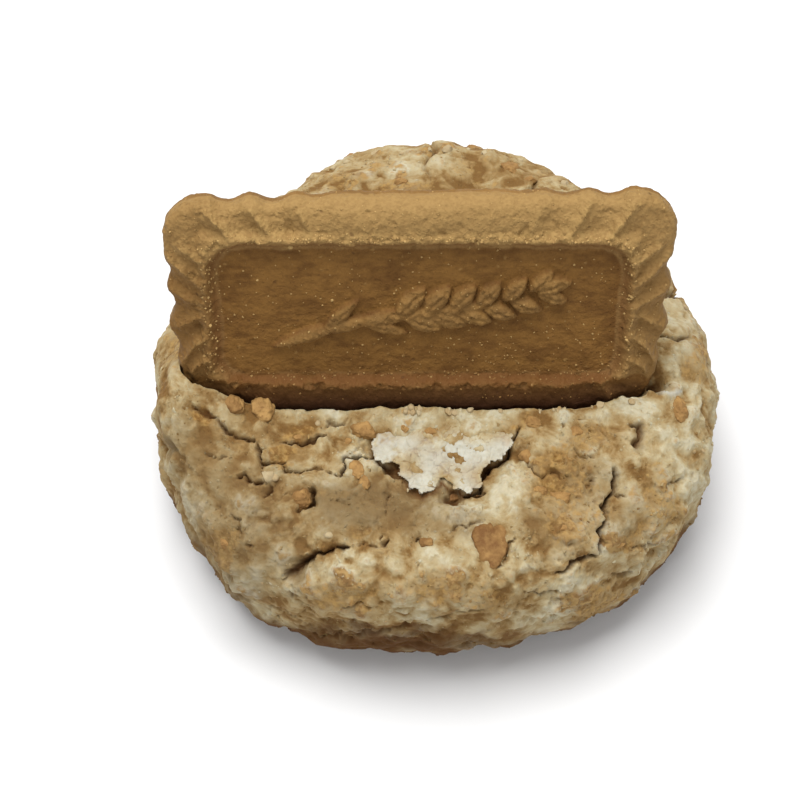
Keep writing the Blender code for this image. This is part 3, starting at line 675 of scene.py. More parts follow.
def nearPath(spots, path):  # distance to a path, how far along it that is from 0 to 1, and its side
    best, place, side = np.full(len(spots), 1e9), np.zeros(len(spots)), np.zeros(len(spots))
    for index in range(len(path) - 1):
        start, end = np.array(path[index], float), np.array(path[index + 1], float)
        run = end - start
        share = np.clip((spots - start) @ run / (run @ run), 0, 1)
        distance = np.linalg.norm(start + share[:, None] * run - spots, axis=1)
        left = run[1] * (spots[:, 0] - start[0]) - run[0] * (spots[:, 1] - start[1])
        closer = distance < best
        best[closer] = distance[closer]
        place[closer] = ((index + share) / (len(path) - 1))[closer]
        side[closer] = np.sign(left)[closer]
    return best, place, side


def insideOutline(spots, outline):
    inside = np.zeros(len(spots), bool)
    for index, corner in enumerate(outline):
        (x1, y1), (x2, y2) = outline[index - 1], corner
        if y1 != y2:
            crosses = (y1 > spots[:, 1]) != (y2 > spots[:, 1])
            inside ^= crosses & (spots[:, 0] < x1 + (spots[:, 1] - y1) / (y2 - y1) * (x2 - x1))
    return inside


def frontRelief(spots):  # what the picture shows one by one: cracks, the flake's bed, bumps and pits
    pixel = view["pixel"]
    relief, crackShade = np.zeros(len(spots)), np.zeros(len(spots))
    alongside = np.pad(spots, ((0, 0), (0, 1)))
    uneven = 1 + 0.9 * waves(alongside, 11.0)
    for halfWidth, deepest, ledge, path in cracks:
        low, high = np.min(path, axis=0) - 40, np.max(path, axis=0) + 40
        near = np.all((spots > low) & (spots < high), axis=1)
        distance, place, side = nearPath(spots[near], path)
        distance = distance * pixel
        taper = 1 - np.abs(2 * place - 1) ** 3
        width = halfWidth * (0.45 + 0.55 * taper) * uneven[near]
        depth = 1 - smooth(distance / width)
        banks = 0.5 * ledge * side * taper * smooth(distance / 0.3)
        banks = banks * np.exp(-(distance / dough["ledgeReach"]) ** 2)
        relief[near] += banks
        relief[near] = np.minimum(relief[near], banks - deepest * depth)
        # painted shade: darker colour inside each crack, as deep as the crack
        crackShade[near] = np.maximum(crackShade[near], depth * min(deepest / 1.3, 1))
    for middle, halfWidth, halfHeight, rise in bumps:
        lift = 1 - smooth(ovalDistance(spots, middle, halfWidth, halfHeight) / 1.4)
        relief += rise * lift
        # deep pits also get painted shade
        if rise < -1.5:
            crackShade = np.maximum(crackShade, smooth(lift * 1.6 - 0.5))
    inside = insideOutline(spots, flake["outline"])
    edge, _, _ = nearPath(spots, flake["outline"])
    edge = edge * pixel
    free = ramp(spots[:, 1], flake["freeBelow"], flake["freeWithin"])
    relief -= flake["bedSink"] * np.exp(-(edge / flake["bedReach"]) ** 2) * free
    # painted shadow under the flake's free edge
    crackShade = np.maximum(crackShade, np.where(inside, 1, 0.8) * free * np.exp(-(edge / 0.5) ** 2))
    return relief, crackShade


def doughRelief(points, swelled, normals):
    relief = layeredWaves(points, dough["waviness"])
    facing = ramp(normals @ toEye, dough["grazing"], dough["grazingFade"])
    facing = facing * smooth((dough["frontEnd"] - points[:, 1]) / dough["frontFade"])
    seen, crackShade = frontRelief(seenAt(swelled) + raggedShift(points, dough["crackRagged"]))
    relief += facing * seen

    # cracks between plates of crust, where nothing shows them one by one
    plate = dough["plateSize"]
    turned = points + drift(points, plate / 3) * 0.2 * plate
    turned = turned + drift(points, 1.6) * 0.4
    near, second, _ = cells(turned, plate)
    patch = ramp(waves(points, dough["platePatch"], (7, 1, 4)), -0.05, 0.25)
    split = 1 - smooth((second - near) / dough["plateCrackWidth"])
    relief -= (1 - 0.8 * facing) * dough["plateCrackDepth"] * patch * split
    # painted shade: the listed cracks where the eye sees them, the plate cracks elsewhere
    crackShade = np.maximum(crackShade * facing, (1 - facing) * patch * split ** 2)

    # small plates that have shifted, with fissures between some of them
    turned = points + drift(points, 4.0) * 1.8 + drift(points + 9, 1.2) * 0.8
    near, second, lot = cells(turned, dough["smallPlate"])
    apart = second - near
    torn = ramp(waves(points, 9.0, (2, 9, 5)), -0.15, 0.3)
    relief += dough["smallPlateShift"] * (lot - 0.5) * smooth(apart / 0.2) * (0.4 + 0.6 * torn)
    fissure = (1 - smooth(apart / dough["fissureWidth"])) * torn * ramp(lot, 0.25, 0.2)
    relief -= dough["fissureDepth"] * fissure

    # crumb: rounded lumps of three sizes, and small pits, with less of it near the base
    rough = 0.5 + 0.5 * ramp(waves(points, 6.0, (9, 0, 3)), -0.25, 0.5)
    crumb = np.zeros(len(points))
    for size, height, share in dough["crumb"]:
        near, _, lot = cells(points + drift(points + size, size * 0.8) * size * 0.35, size)
        lump = smooth(1.15 - near / 0.62)
        crumb += height * lump * (0.3 + 0.7 * lot) * (lot > 1 - share)
    pits = ramp(waves(points, dough["pitSize"], (6, 6, 2)), 0.34, 0.2)
    crumb = (crumb - dough["pitDepth"] * pits) * rough
    smoother = 0.5 + 0.5 * ramp(points[:, 2], *dough["smootherBelow"])
    relief += crumb * (0.7 + 0.3 * facing) * smoother - dough["crumbSunk"] * smoother
    relief = relief * smooth(points[:, 2] / dough["baseEdge"])

    # for its material: painted shade in the cracks and where its crumb is low, and where its crumb is high,
    # which is painted paler and more golden
    crackShade = np.maximum(crackShade, 0.3 * fissure)
    level = crumb + 0.5 * waves(points, 2.8)
    hollow = np.clip((0.18 - level) / 0.45, 0, 1)
    high = np.clip((level - 0.26) / 0.5, 0, 1)
    return relief, facing, crackShade, hollow, high


# patches of colour, as they show in the picture: pixel, half width and half height in mm, strength
browned = (
    ((563, 476), 5.2, 5.0, 0.55), ((590, 505), 3.6, 2.8, 0.45), ((655, 512), 3.4, 6.0, 0.5),
    ((624, 545), 2.6, 1.2, 0.85), ((588, 604), 4.4, 2.2, 0.6), ((612, 596), 2.6, 1.8, 0.5),
    ((222, 547), 2.7, 2.6, 1.0), ((572, 526), 5.0, 4.2, 0.5), ((345, 597), 6.0, 3.2, 0.55),
    ((440, 588), 6.0, 2.6, 0.5), ((285, 454), 2.2, 1.4, 0.7), ((561, 527), 2.0, 1.3, 0.95),
    ((358, 531), 1.8, 1.1, 0.9),
    ((330, 497), 3.4, 1.0, 0.6), ((176, 345), 1.6, 3.4, 0.6), ((700, 358), 2.4, 4.0, 0.5),
    ((520, 425), 3.6, 1.2, 0.5), ((590, 436), 4.2, 1.6, 0.55), ((300, 437), 2.6, 0.8, 0.8),
    ((205, 415), 1.8, 0.9, 0.9), ((480, 600), 5.0, 2.2, 0.4), ((655, 470), 2.0, 2.4, 0.4),
    ((405, 184), 4.6, 1.3, 0.6), ((345, 178), 4.0, 1.4, 0.4), ((470, 167), 3.0, 1.4, 0.4),
    ((545, 172), 3.6, 1.1, 0.35), ((380, 160), 3.0, 1.2, 0.4), ((500, 184), 2.6, 0.9, 0.5),
    ((430, 150), 3.6, 0.8, 0.5), ((240, 440), 2.2, 1.6, 0.35), ((372, 505), 3.0, 1.4, 0.35),
)
# paler crumb, in places painted light
pale = (
    ((475, 418), 7.0, 1.4, 0.5), ((415, 422), 5.0, 1.6, 0.7), ((330, 412), 6.0, 0.6, 0.4),
    ((690, 420), 2.6, 7.0, 0.45), ((610, 415), 7.0, 1.2, 0.9), ((690, 350), 2.2, 4.0, 0.4),
    ((360, 590), 9.0, 3.6, 0.5), ((430, 600), 7.0, 3.0, 0.45), ((620, 402), 5.0, 1.0, 0.5),
    ((262, 425), 4.0, 1.0, 0.35), ((640, 405), 6.0, 1.6, 0.6), ((178, 400), 2.6, 5.0, 0.25),
    ((190, 500), 2.4, 5.0, 0.4), ((235, 485), 4.0, 4.0, 0.3), ((655, 440), 4.0, 3.0, 0.3),
    ((685, 480), 3.0, 5.0, 0.5), ((650, 560), 5.0, 3.0, 0.4), ((560, 600), 8.0, 3.0, 0.3),
    ((340, 580), 5.0, 2.0, 0.3), ((540, 412), 6.0, 0.8, 0.6), ((600, 455), 1.8, 1.2, 0.5),
    ((520, 505), 2.6, 2.6, 0.5), ((508, 500), 2.4, 2.4, 0.45), ((355, 556), 2.6, 0.9, 0.55),
    ((472, 506), 1.8, 0.9, 0.4),
    ((270, 476), 1.3, 0.9, 0.6), ((678, 393), 2.2, 1.2, 0.5), ((612, 454), 2.4, 1.6, 0.3),
    ((235, 418), 3.0, 1.3, 0.3), ((577, 583), 1.7, 1.0, 0.4), ((455, 520), 1.6, 1.0, 0.4),
    ((432, 484), 4.0, 1.2, 0.3), ((640, 455), 2.4, 2.4, 0.25), ((300, 400), 5.0, 0.8, 0.25),
    ((246, 430), 2.6, 0.8, 0.35), ((560, 545), 3.0, 2.0, 0.2), ((420, 560), 3.4, 1.0, 0.3),
)
# a darker band low on the front: partly baked brown, partly painted shade
shadedBakedBase = (
    ((390, 647), 12.0, 1.9, 1.0), ((345, 637), 6.0, 1.5, 0.8), ((460, 642), 7.0, 1.5, 0.8),
    ((310, 636), 3.4, 1.2, 0.6), ((520, 640), 5.0, 1.2, 0.55), ((245, 597), 4.0, 1.0, 0.4),
)
whitest = (((270, 476), 0.9, 0.6, 0.4), ((672, 389), 1.5, 0.5, 0.7))
shaded = (
    ((365, 505), 9.0, 3.8, 0.85), ((205, 470), 5.0, 4.6, 0.45), ((345, 520), 6.0, 3.0, 0.5),
    ((560, 545), 3.0, 2.0, 0.3), ((625, 520), 2.4, 3.6, 0.35), ((450, 525), 5.0, 2.0, 0.5),
    ((535, 520), 3.0, 3.0, 0.35), ((590, 480), 4.0, 4.0, 0.3), ((420, 520), 4.0, 2.4, 0.5),
    ((238, 525), 8.0, 9.0, 0.55), ((402, 508), 5.5, 2.4, 0.65), ((294, 577), 2.0, 1.8, 0.8),
    ((172, 447), 1.6, 1.8, 0.9), ((250, 548), 1.4, 1.2, 0.7), ((637, 440), 1.2, 1.8, 0.6),
    ((185, 430), 2.0, 2.0, 0.3), ((262, 440), 2.0, 2.0, 0.2), ((446, 530), 3.0, 1.4, 0.4),
    ((290, 565), 3.4, 2.4, 0.5), ((285, 490), 5.0, 3.0, 0.35),
    ((440, 500), 3.0, 1.6, 0.5), ((300, 640), 6.0, 2.0, 0.4),
)


def patches(spots, places):
    total = np.zeros(len(spots))
    for middle, halfWidth, halfHeight, strength in places:
        away = ovalDistance(spots, middle, halfWidth, halfHeight)
        total = np.maximum(total, strength * (1 - smooth(away - 0.45)))
    return total


def makeDough():
    body = addMesh(bpy.ops.mesh.primitive_ico_sphere_add, subdivisions=dough["fineness"], radius=1)
    points, normals = plainDough(unit(getPoints(body) + dough["crowdTo"]))
    swell = np.zeros(len(points))
    for x, y, reach, rise in dough["swells"]:
        swell += rise * np.exp(-((points[:, 0] - x) ** 2 + (points[:, 1] - y) ** 2) / reach ** 2)
    swelled = points.copy()
    swelled[:, 2] += swell * smooth(normals[:, 2] / 0.6)
    relief, facing, crackShade, hollow, high = doughRelief(points, swelled, normals)
    onBase = points[:, 2] <= 0
    shaped = swelled + normals * relief[:, None]
    shaped[:, 2] = np.maximum(shaped[:, 2], 0)
    shaped[onBase] = points[onBase]

    # kept inside the solid's own box
    lowest, highest = (np.array(corner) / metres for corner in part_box("cookie"))
    middle = (lowest + highest) / 2
    for axis in (0, 1):
        side = shaped[:, axis] - middle[axis]
        side *= min(1, (highest[axis] - lowest[axis]) / 2 / np.abs(side).max())
        shaped[:, axis] = middle[axis] + side
    setPoints(body, shaped)
    print("dough shaped")

    spots = seenAt(swelled) + raggedShift(points, dough["patchRagged"])
    shows = ramp(normals @ toEye, dough["grazing"], dough["grazingFade"])
    elsewhere = (1 - facing) * (0.05 + 0.22 * ramp(waves(points, 8.0, (1, 2, 3)), -0.02, 0.45))
    setMask(body, "browned", np.maximum(shows * patches(spots, browned), elsewhere))
    setMask(body, "pale", facing * patches(spots, pale))
    setMask(body, "away", 1 - shows)
    setMask(body, "white", facing * patches(spots, whitest))
    # a dark band near the base: partly baked brown, partly painted shade
    base = dough["bakedAndShadedBelow"] - points[:, 2] + 3.0 * waves(points, 4.0) + 1.5 * waves(points, 1.5)
    base = smooth(base / dough["bakedAndShadedFade"])
    setMask(body, "shaded", facing * patches(spots, shaded))
    setMask(body, "base", np.maximum(base, facing * patches(spots, shadedBakedBase)))
    # painted shade in cracks, pits and on low crumb; high crumb is painted paler
    setMask(body, "crackShade", crackShade)
    setMask(body, "hollow", hollow)
    setMask(body, "high", high)

    # the slot in which the biscuit stands
    cutter = makeSlab("slotCutter", dough["slotStep"])
    shapeSlab(cutter, gap=dough["gap"], plain=True)
    cutter.data.transform(biscuitPlace())
    applyModifier(body, "BOOLEAN", operation="DIFFERENCE", object=cutter, solver="EXACT")
    bpy.data.objects.remove(cutter)
    keepLargest(body)
    print("slot cut")
    thinOut(body, dough["triangles"])
    applyModifier(body, "SMOOTH", factor=dough["wear"], iterations=dough["wearRounds"])
    return body


# the torn flake of crust, on a smooth sheet fitted to the dough under it

def makeFlake(body, material):
    tree = BVHTree.FromObject(body, bpy.context.evaluated_depsgraph_get())
    corners = np.array(flake["outline"], float)
    low, high = corners.min(axis=0) - flake["margin"], corners.max(axis=0) + flake["margin"]
    counts = np.round((high - low) * view["pixel"] / flake["step"]).astype(int)
    piece = addGrid(*counts)
    raw = getPoints(piece)
    spots = low + (high - low) * (raw[:, :2] * (1, -1) + 1) / 2
    rays = np.array([tuple(rayThrough(*spot)) for spot in spots])
    reach = np.array([(Vector(eye) - hitAt(tree, *spot)[0]).length for spot in spots])
    u, v = (2 * (spots - low) / (high - low) - 1).T
    terms = np.stack([u ** i * v ** j for i in range(4) for j in range(4 - i)], axis=1)
    fitted = terms @ np.linalg.lstsq(terms, reach, rcond=None)[0]
    flatPoints = eye + rays * fitted[:, None]
    outward = unit(np.array(flake["outward"]))

    ragged = raggedShift(flatPoints, flake["ragged"])
    edge, _, _ = nearPath(spots + ragged, flake["outline"])
    edge = edge * view["pixel"]
    inside = insideOutline(spots + ragged, flake["outline"])
    free = smooth((spots[:, 1] - flake["freeBelow"] + 8) / flake["freeWithin"])
    curl = flake["curl"] * free * np.exp(-edge / flake["curlReach"])
    lift = flake["lift"] * free + curl - flake["sunkTop"] * (1 - free)
    near, second, lot = cells(flatPoints + drift(flatPoints, 0.8) * 0.5, flake["plateSize"])
    folds = layeredWaves(flatPoints, flake["folds"]) + 0.14 * (lot - 0.5)
    folds = folds - 0.10 * (1 - smooth((second - near) / 0.09)) + 0.05 * waves(flatPoints, 0.4)
    worn = flake["thickness"] * 0.7 * np.exp(-edge / 0.22)
    setPoints(piece, flatPoints + outward * (lift + folds - worn)[:, None])
    cloudy = waves(flatPoints, 3.2, (5, 0, 2))
    torn = 0.6 * free * smooth(0.6 + cloudy)
    setMask(piece, "pale", 0.40 + 0.25 * free + 0.4 * cloudy)
    setMask(piece, "browned", patches(spots + ragged * 2, flake["golden"]) - 0.15)
    # painted shade along the creases between its small plates
    setMask(piece, "hollow", 0.5 * (1 - smooth((second - near) / 0.12)))
    setMask(piece, "white", np.maximum(patches(spots + ragged * 3, flake["white"]), torn))

    selectVertices(piece, ~inside)
    bpy.ops.mesh.delete(type="VERT")
    bpy.ops.mesh.select_all(action="SELECT")
    bpy.ops.mesh.delete_loose()
    bpy.ops.object.mode_set(mode="OBJECT")
    if (piece.data.polygons[0].normal @ Vector(outward)) < 0:
        piece.data.flip_normals()
    applyModifier(piece, "SOLIDIFY", thickness=flake["thickness"], offset=-1, use_even_offset=False)
    finishPiece(piece, "tornFlake", material, ["cookie"], 50)


def keepLargest(item):  # drops scraps that the cut left
    away = np.abs(getPoints(item)[:, 1] - dough["keptAt"])
    selectVertices(item, np.arange(len(away)) == away.argmin())
    bpy.ops.mesh.select_linked()
    bpy.ops.mesh.select_all(action="INVERT")
    bpy.ops.mesh.delete(type="VERT")
    bpy.ops.object.mode_set(mode="OBJECT")


# bits of biscuit baked into the dough

bits = {
    # pixel, width and height in pixels, and how dark it is baked
    "front": (
        ((236, 404), 20, 22, 0.45), ((264, 407), 25, 20, 0.15), ((365, 430), 24, 21, 0.3),
        ((347, 442), 11, 10, 0.3), ((358, 468), 20, 15, 0.25), ((365, 482), 14, 14, 0.25),
        ((299, 499), 26, 22, 0.5), ((491, 545), 36, 46, 0.8), ((452, 496), 20, 16, 0.9),
        ((427, 541), 15, 10, 0.5), ((430, 432), 16, 13, 0.3), ((500, 440), 12, 13, 0.2),
        ((532, 423), 20, 11, 0.25), ((577, 432), 14, 12, 0.3), ((527, 456), 16, 14, 0.3),
        ((561, 497), 22, 15, 0.3), ((681, 409), 17, 20, 0.35), ((620, 545), 12, 8, 0.2),
        ((541, 490), 13, 11, 0.3), ((406, 428), 9, 8, 0.2), ((223, 543), 13, 10, 0.4),
        ((300, 436), 14, 6, 0.3), ((565, 528), 11, 9, 0.45), ((206, 558), 8, 7, 0.6),
        ((400, 182), 16, 7, 0.3), ((530, 178), 14, 8, 0.4),
    ),
    "shieldAt": 7,  # the one above that is shaped like a shield
    "shield": (
        ((0, 1, 0.2), 0.47), ((1, -0.2, 0), 0.46), ((-1, -0.25, 0), 0.46), ((0.85, -0.6, 0), 0.43),
        ((-0.8, -0.6, 0), 0.42), ((0.1, -1, 0.1), 0.52), ((0, 0, 1), 0.32), ((0.3, 0.5, 1), 0.38),
        ((-0.3, -0.5, 1), 0.40), ((0, 0, -1), 0.5),
    ),
    "backCount": 12, "backSizes": (2.0, 3.6), "backRises": (14, 25, 36, 46),
    "sink": 0.22, "facets": 13, "facetReach": (0.36, 0.5), "core": 0.62, "softness": 9, "seed": 11,
    "shown": 0.95,  # share of its width in the picture
    "steepest": 0.45, "depth": (0.75, 0.6),  # depth for each mm of its smaller side, and added to it
}


def drawDirection(draw):
    return draw.gauss(0, 1), draw.gauss(0, 1), draw.gauss(0, 1)


def makeBitShape(seed, planes=()):  # an angular lump about 1 across, worn along its edges
    draw = random.Random(seed)
    bit = addMesh(bpy.ops.mesh.primitive_ico_sphere_add, subdivisions=5, radius=1)
    rays = unit(getPoints(bit))
    if not planes:
        planes = [(drawDirection(draw), draw.uniform(*bits["facetReach"])) for _ in range(bits["facets"])]
    total = np.full(len(rays), bits["core"] ** -bits["softness"])
    for direction, distance in planes:
        cosine = np.maximum(rays @ unit(np.array(direction, float)), 0)
        total += (cosine / distance) ** bits["softness"]
    reach = total ** (-1 / bits["softness"])
    near, _, lot = cells(rays + seed, 0.22)
    grainy = roundedLump(near, 0.75) * lot
    reach = reach * (1 + 0.12 * waves(rays + seed, 0.45) + 0.06 * waves(rays + seed, 0.18) + 0.09 * grainy)
    setPoints(bit, rays * reach[:, None])
    return bit


def makeBits(body, material):
    tree = BVHTree.FromObject(body, bpy.context.evaluated_depsgraph_get())
    draw = random.Random(bits["seed"])
    parts = []

    def place(spot, outward, size, dark, turn, sink):
        bit = makeBitShape(len(parts) + 1, bits["shield"] if len(parts) == bits["shieldAt"] else ())
        right = (Vector((1, 0, 0)) - outward * outward.x).normalized()
        facing = Matrix((right, outward.cross(right), outward)).transposed().to_4x4()
        points = getPoints(bit) * size
        setPoints(bit, points)
        setMask(bit, "dark", np.full(len(points), dark))
        setMask(bit, "buried", smooth((0.25 * size[2] - points[:, 2]) / (0.35 * size[2])))
        middle = spot - outward * size[2] * sink
        bit.data.transform(Matrix.Translation(middle) @ facing @ Matrix.Rotation(turn, 4, "Z"))
        parts.append(bit)

    for (across, down), width, height, dark in bits["front"]:
        spot, normal = hitAt(tree, across, down)
        if spot is None:
            continue
        outward = averageNormal(tree, spot, normal)
        width, height = (side * view["pixel"] * bits["shown"] for side in (width, height))
        stretch = 1 / max(outward.dot(Vector(toEye)), bits["steepest"])
        deep = bits["depth"][0] * min(width, height) + bits["depth"][1]
        sink = bits["sink"] + 0.1 * smooth((2.6 - width) / 1.2)
        place(spot, outward, (width, height * stretch, deep), dark, 0, sink)
    middle = Vector((0, 0, dough["widestLevel"]))
    for index in range(bits["backCount"]):
        angle = math.radians(5 + 170 * (index + draw.uniform(0.1, 0.9)) / bits["backCount"])
        rise = math.radians(draw.choice(bits["backRises"]) + draw.uniform(-6, 6))
        level = Vector((math.cos(angle), math.sin(angle), 0))
        ray = level * math.cos(rise) + Vector((0, 0, math.sin(rise)))
        spot, normal, _, _ = tree.ray_cast(middle, ray)
        wide = draw.uniform(*bits["backSizes"])
        size = (wide, wide * draw.uniform(0.7, 1), wide * 0.75)
        turn = draw.uniform(0, math.pi)
        place(spot, averageNormal(tree, spot, normal), size, draw.uniform(0.2, 0.8), turn, bits["sink"])

    joined = joinPieces(parts)
    finishPiece(joined, "bakedInBits", material, ["cookie"])
    return joined


def averageNormal(tree, spot, normal):  # the dough's normal over a few millimetres, without its crumb
    total = Vector(normal)
    for _, near, _, _ in tree.find_nearest_range(spot, 3.0):
        total += near
    return total.normalized()


def joinPieces(parts):
    selectOnly(parts[0])
    for part in parts:
        part.select_set(True)
    bpy.ops.object.join()
    return bpy.context.object


# crumbs: a few shapes, each copied many times into one mesh

crumbs = {
    "seed": 5,
    # pixel and size in mm of the larger ones on the slot's lip and against the sky
    "standing": (
        (326, 401, 1.2), (345, 402, 1.4), (404, 405, 1.7), (411, 408, 1.2), (420, 409, 0.9), (539, 406, 1.4),
        (365, 405, 0.9), (470, 410, 0.8), (500, 411, 0.8), (600, 404, 1.0), (632, 401, 1.0), (287, 403, 0.9),
        (252, 400, 0.9), (346, 162, 1.2), (375, 152, 1.3), (448, 149, 1.5), (485, 152, 1.0), (565, 183, 1.4),
        (267, 475, 1.3), (274, 478, 1.0), (284, 473, 0.9), (430, 150, 0.9), (402, 153, 0.8), (520, 160, 0.8),
        (312, 177, 0.8), (333, 168, 1.0), (468, 149, 0.8),
    ),
    "standingDark": (0.1, 0.5), "dark": (0, 0.8), "proud": -0.12,
    # heaps along the lip of the slot, which bows: its ends, middle, half length, level and bow in pixels
    "lipHeaps": 7, "lipEnds": (205, 650), "lipMiddle": 425, "lipHalf": 225, "lipLevel": 411, "lipBow": 15,
    "heapCount": (1, 7), "heapAcross": 6, "heapDown": (-1, 5), "heapSizes": (0.4, 1.0),
    "front": 10, "frontAcross": (165, 705), "frontDown": (405, 640), "frontSizes": (0.4, 0.9),
    "grit": 6500, "gritSizes": (0.25, 0.6), "gritProud": -0.2, "gritHigh": (-0.6, 1.0),
}


def crumbShapes(count, seed, fineness):  # angular bits about 1 across
    draw = random.Random(seed)
    shapes = []
    for _ in range(count):
        shape = addMesh(bpy.ops.mesh.primitive_ico_sphere_add, subdivisions=fineness, radius=0.5)
        rays = unit(getPoints(shape))
        reach = np.full(len(rays), 0.62)
        for _ in range(7):
            cosine = rays @ unit(np.array(drawDirection(draw)))
            cut = draw.uniform(0.3, 0.5) / np.maximum(cosine, 0.1)
            reach = np.where(cosine > 0.1, np.minimum(reach, cut), reach)
        reach = reach * np.array([draw.uniform(0.82, 1.12) for _ in rays])
        faces = [tuple(face.vertices) for face in shape.data.polygons]
        shapes.append((rays * reach[:, None], faces))
        bpy.data.objects.remove(shape)
    return shapes


def scatterMesh(name, shapes, places, masks, seed, proud):  # places: point, outward normal and size
    draw = random.Random(seed)
    points, faces, owners = [], [], []
    count = 0
    for owner, (spot, outward, size) in enumerate(places):
        shape, shapeFaces = draw.choice(shapes)
        facing = np.array(Vector(outward).to_track_quat("Z", "Y").to_matrix())
        angle = draw.uniform(0, 2 * math.pi)
        cosine, sine = math.cos(angle), math.sin(angle)
        spin = np.array(((cosine, -sine, 0), (sine, cosine, 0), (0, 0, 1)))
        stretch = np.array((draw.uniform(0.75, 1.25), draw.uniform(0.75, 1.25), draw.uniform(0.6, 1.0)))
        moved = (shape * stretch * size) @ spin.T @ facing.T
        moved = moved + np.array(spot) + np.array(outward) * size * proud
        points.append(moved)
        faces += [tuple(index + count for index in face) for face in shapeFaces]
        owners += [owner] * len(moved)
        count += len(moved)
    mesh = bpy.data.meshes.new(name)
    mesh.from_pydata(np.concatenate(points).tolist(), [], faces)
    item = bpy.data.objects.new(name, mesh)
    bpy.context.scene.collection.objects.link(item)
    for maskName, values in masks.items():
        setMask(item, maskName, np.array(values, float)[owners])
    return item


def makeCrumbs(body, material):
    draw = random.Random(crumbs["seed"])
    tree = BVHTree.FromObject(body, bpy.context.evaluated_depsgraph_get())
    places, shades = [], []

    def drop(across, down, size, shade):
        spot, normal = hitAt(tree, across, down)
        if spot is not None and normal.dot(Vector(toEye)) > 0.2:
            places.append((spot, averageNormal(tree, spot, normal), size))
            shades.append(shade)

    for across, down, size in crumbs["standing"]:
        drop(across, down, size, draw.uniform(*crumbs["standingDark"]))
    for _ in range(crumbs["lipHeaps"]):
        middle = draw.uniform(*crumbs["lipEnds"])
        fromMiddle = (middle - crumbs["lipMiddle"]) / crumbs["lipHalf"]
        level = crumbs["lipLevel"] - crumbs["lipBow"] * fromMiddle ** 2
        for _ in range(draw.randint(*crumbs["heapCount"])):
            size = draw.uniform(*crumbs["heapSizes"])
            across, down = draw.gauss(middle, crumbs["heapAcross"]), level + draw.uniform(*crumbs["heapDown"])
            drop(across, down, size, draw.uniform(*crumbs["dark"]))
    for _ in range(crumbs["front"]):
        across, down = draw.uniform(*crumbs["frontAcross"]), draw.uniform(*crumbs["frontDown"])
        drop(across, down, draw.uniform(*crumbs["frontSizes"]), draw.uniform(*crumbs["dark"]))
    shapes = crumbShapes(8, 3, 2)
    item = scatterMesh("doughCrumbs", shapes, places, {"dark": shades}, crumbs["seed"], crumbs["proud"])
    finishPiece(item, "doughCrumbs", material, (), 45)


def makeGrit(body, material):  # tiny crumbs half sunk all over the crust, coloured as it is
    draw = random.Random(crumbs["seed"] + 1)
    mesh = body.data
    mesh.calc_loop_triangles()
    corners = np.array([triangle.vertices[:] for triangle in mesh.loop_triangles])
    points = getPoints(body)
    a, b, c = points[corners[:, 0]], points[corners[:, 1]], points[corners[:, 2]]
    across = np.cross(b - a, c - a)
    area = np.linalg.norm(across, axis=1) / 2
    normals = unit(across)
    middle = (a + b + c) / 3

    def crust(name):
        values = np.empty(len(points), np.float32)
        mesh.attributes[name].data.foreach_get("value", values)
        return values[corners].mean(axis=1)

    thick = 0.25 + ramp(waves(middle, 4.5, (4, 4, 4)), 0.05, 0.35) + crust("browned")
    weight = area * thick * (normals[:, 2] > -0.35) * (middle[:, 2] > 1.0) * (crust("crackShade") < 0.3)
    weight = weight * ~insideSlot(middle) * (1 - 0.7 * crust("pale"))
    total = np.cumsum(weight) / weight.sum()
    last = len(total) - 1
    chosen = [min(int(np.searchsorted(total, draw.random())), last) for _ in range(crumbs["grit"])]
    places = [(middle[index], normals[index], draw.uniform(*crumbs["gritSizes"])) for index in chosen]
    masks = {name: crust(name)[chosen] for name in ("browned", "pale", "shaded", "base", "hollow")}
    masks["high"] = [draw.uniform(*crumbs["gritHigh"]) for _ in chosen]
    shapes = crumbShapes(8, 21, 1)
    item = scatterMesh("crustGrit", shapes, places, masks, crumbs["seed"], crumbs["gritProud"])
    finishPiece(item, "crustGrit", material, (), 60)


def insideSlot(points):  # whether points lie within the biscuit's own room in the dough
    back = biscuitPlace().inverted()
    x, y, z = (points @ np.array(back.to_3x3()).T + np.array(back.translation)).T
    beside = (np.abs(x) < biscuit["length"] / 2 + 0.4) & (np.abs(y) < biscuit["height"] / 2 + 2)
    return beside & (z > -biscuit["thickness"] - 0.4) & (z < 0.9)


grains = {
    "seed": 8, "panel": 90, "crest": 420, "frame": 350, "sizes": (0.16, 0.42),
    # across and down in the picture
    "panelArea": ((210, 625), (248, 372)), "frameArea": ((165, 680), (190, 400)),
    # the crest's sides: up to which share of its grains, from where to where, and middle and spread across it
    "top": (0.42, (210, 630), (240, 2.5)), "right": (0.54, (245, 370), (633, 7)),
    "left": (0.72, (245, 375), (211, 7)), "bottom": (1.0, (215, 630), (373, 3)),
    # where more of them lie on the panel: pixel, spread and count
    "heaps": (((500, 345), 50, 20, 50), ((420, 385), 120, 8, 24), ((213, 330), 8, 45, 40),
              ((590, 380), 20, 12, 16)),
    "bottomSize": 0.8, "panelSize": 0.8, "frameSize": 0.7, "heapSize": 0.85,
    # grains lower down the biscuit are darker, as painted shade near its bottom edge
    "dark": (0, 0.5), "shadeBelow": 340, "shadeFade": 40,
    "large": ((290, 247, 0.9), (371, 241, 0.5), (478, 243, 0.6), (470, 247, 0.5), (332, 300, 0.4)),
}


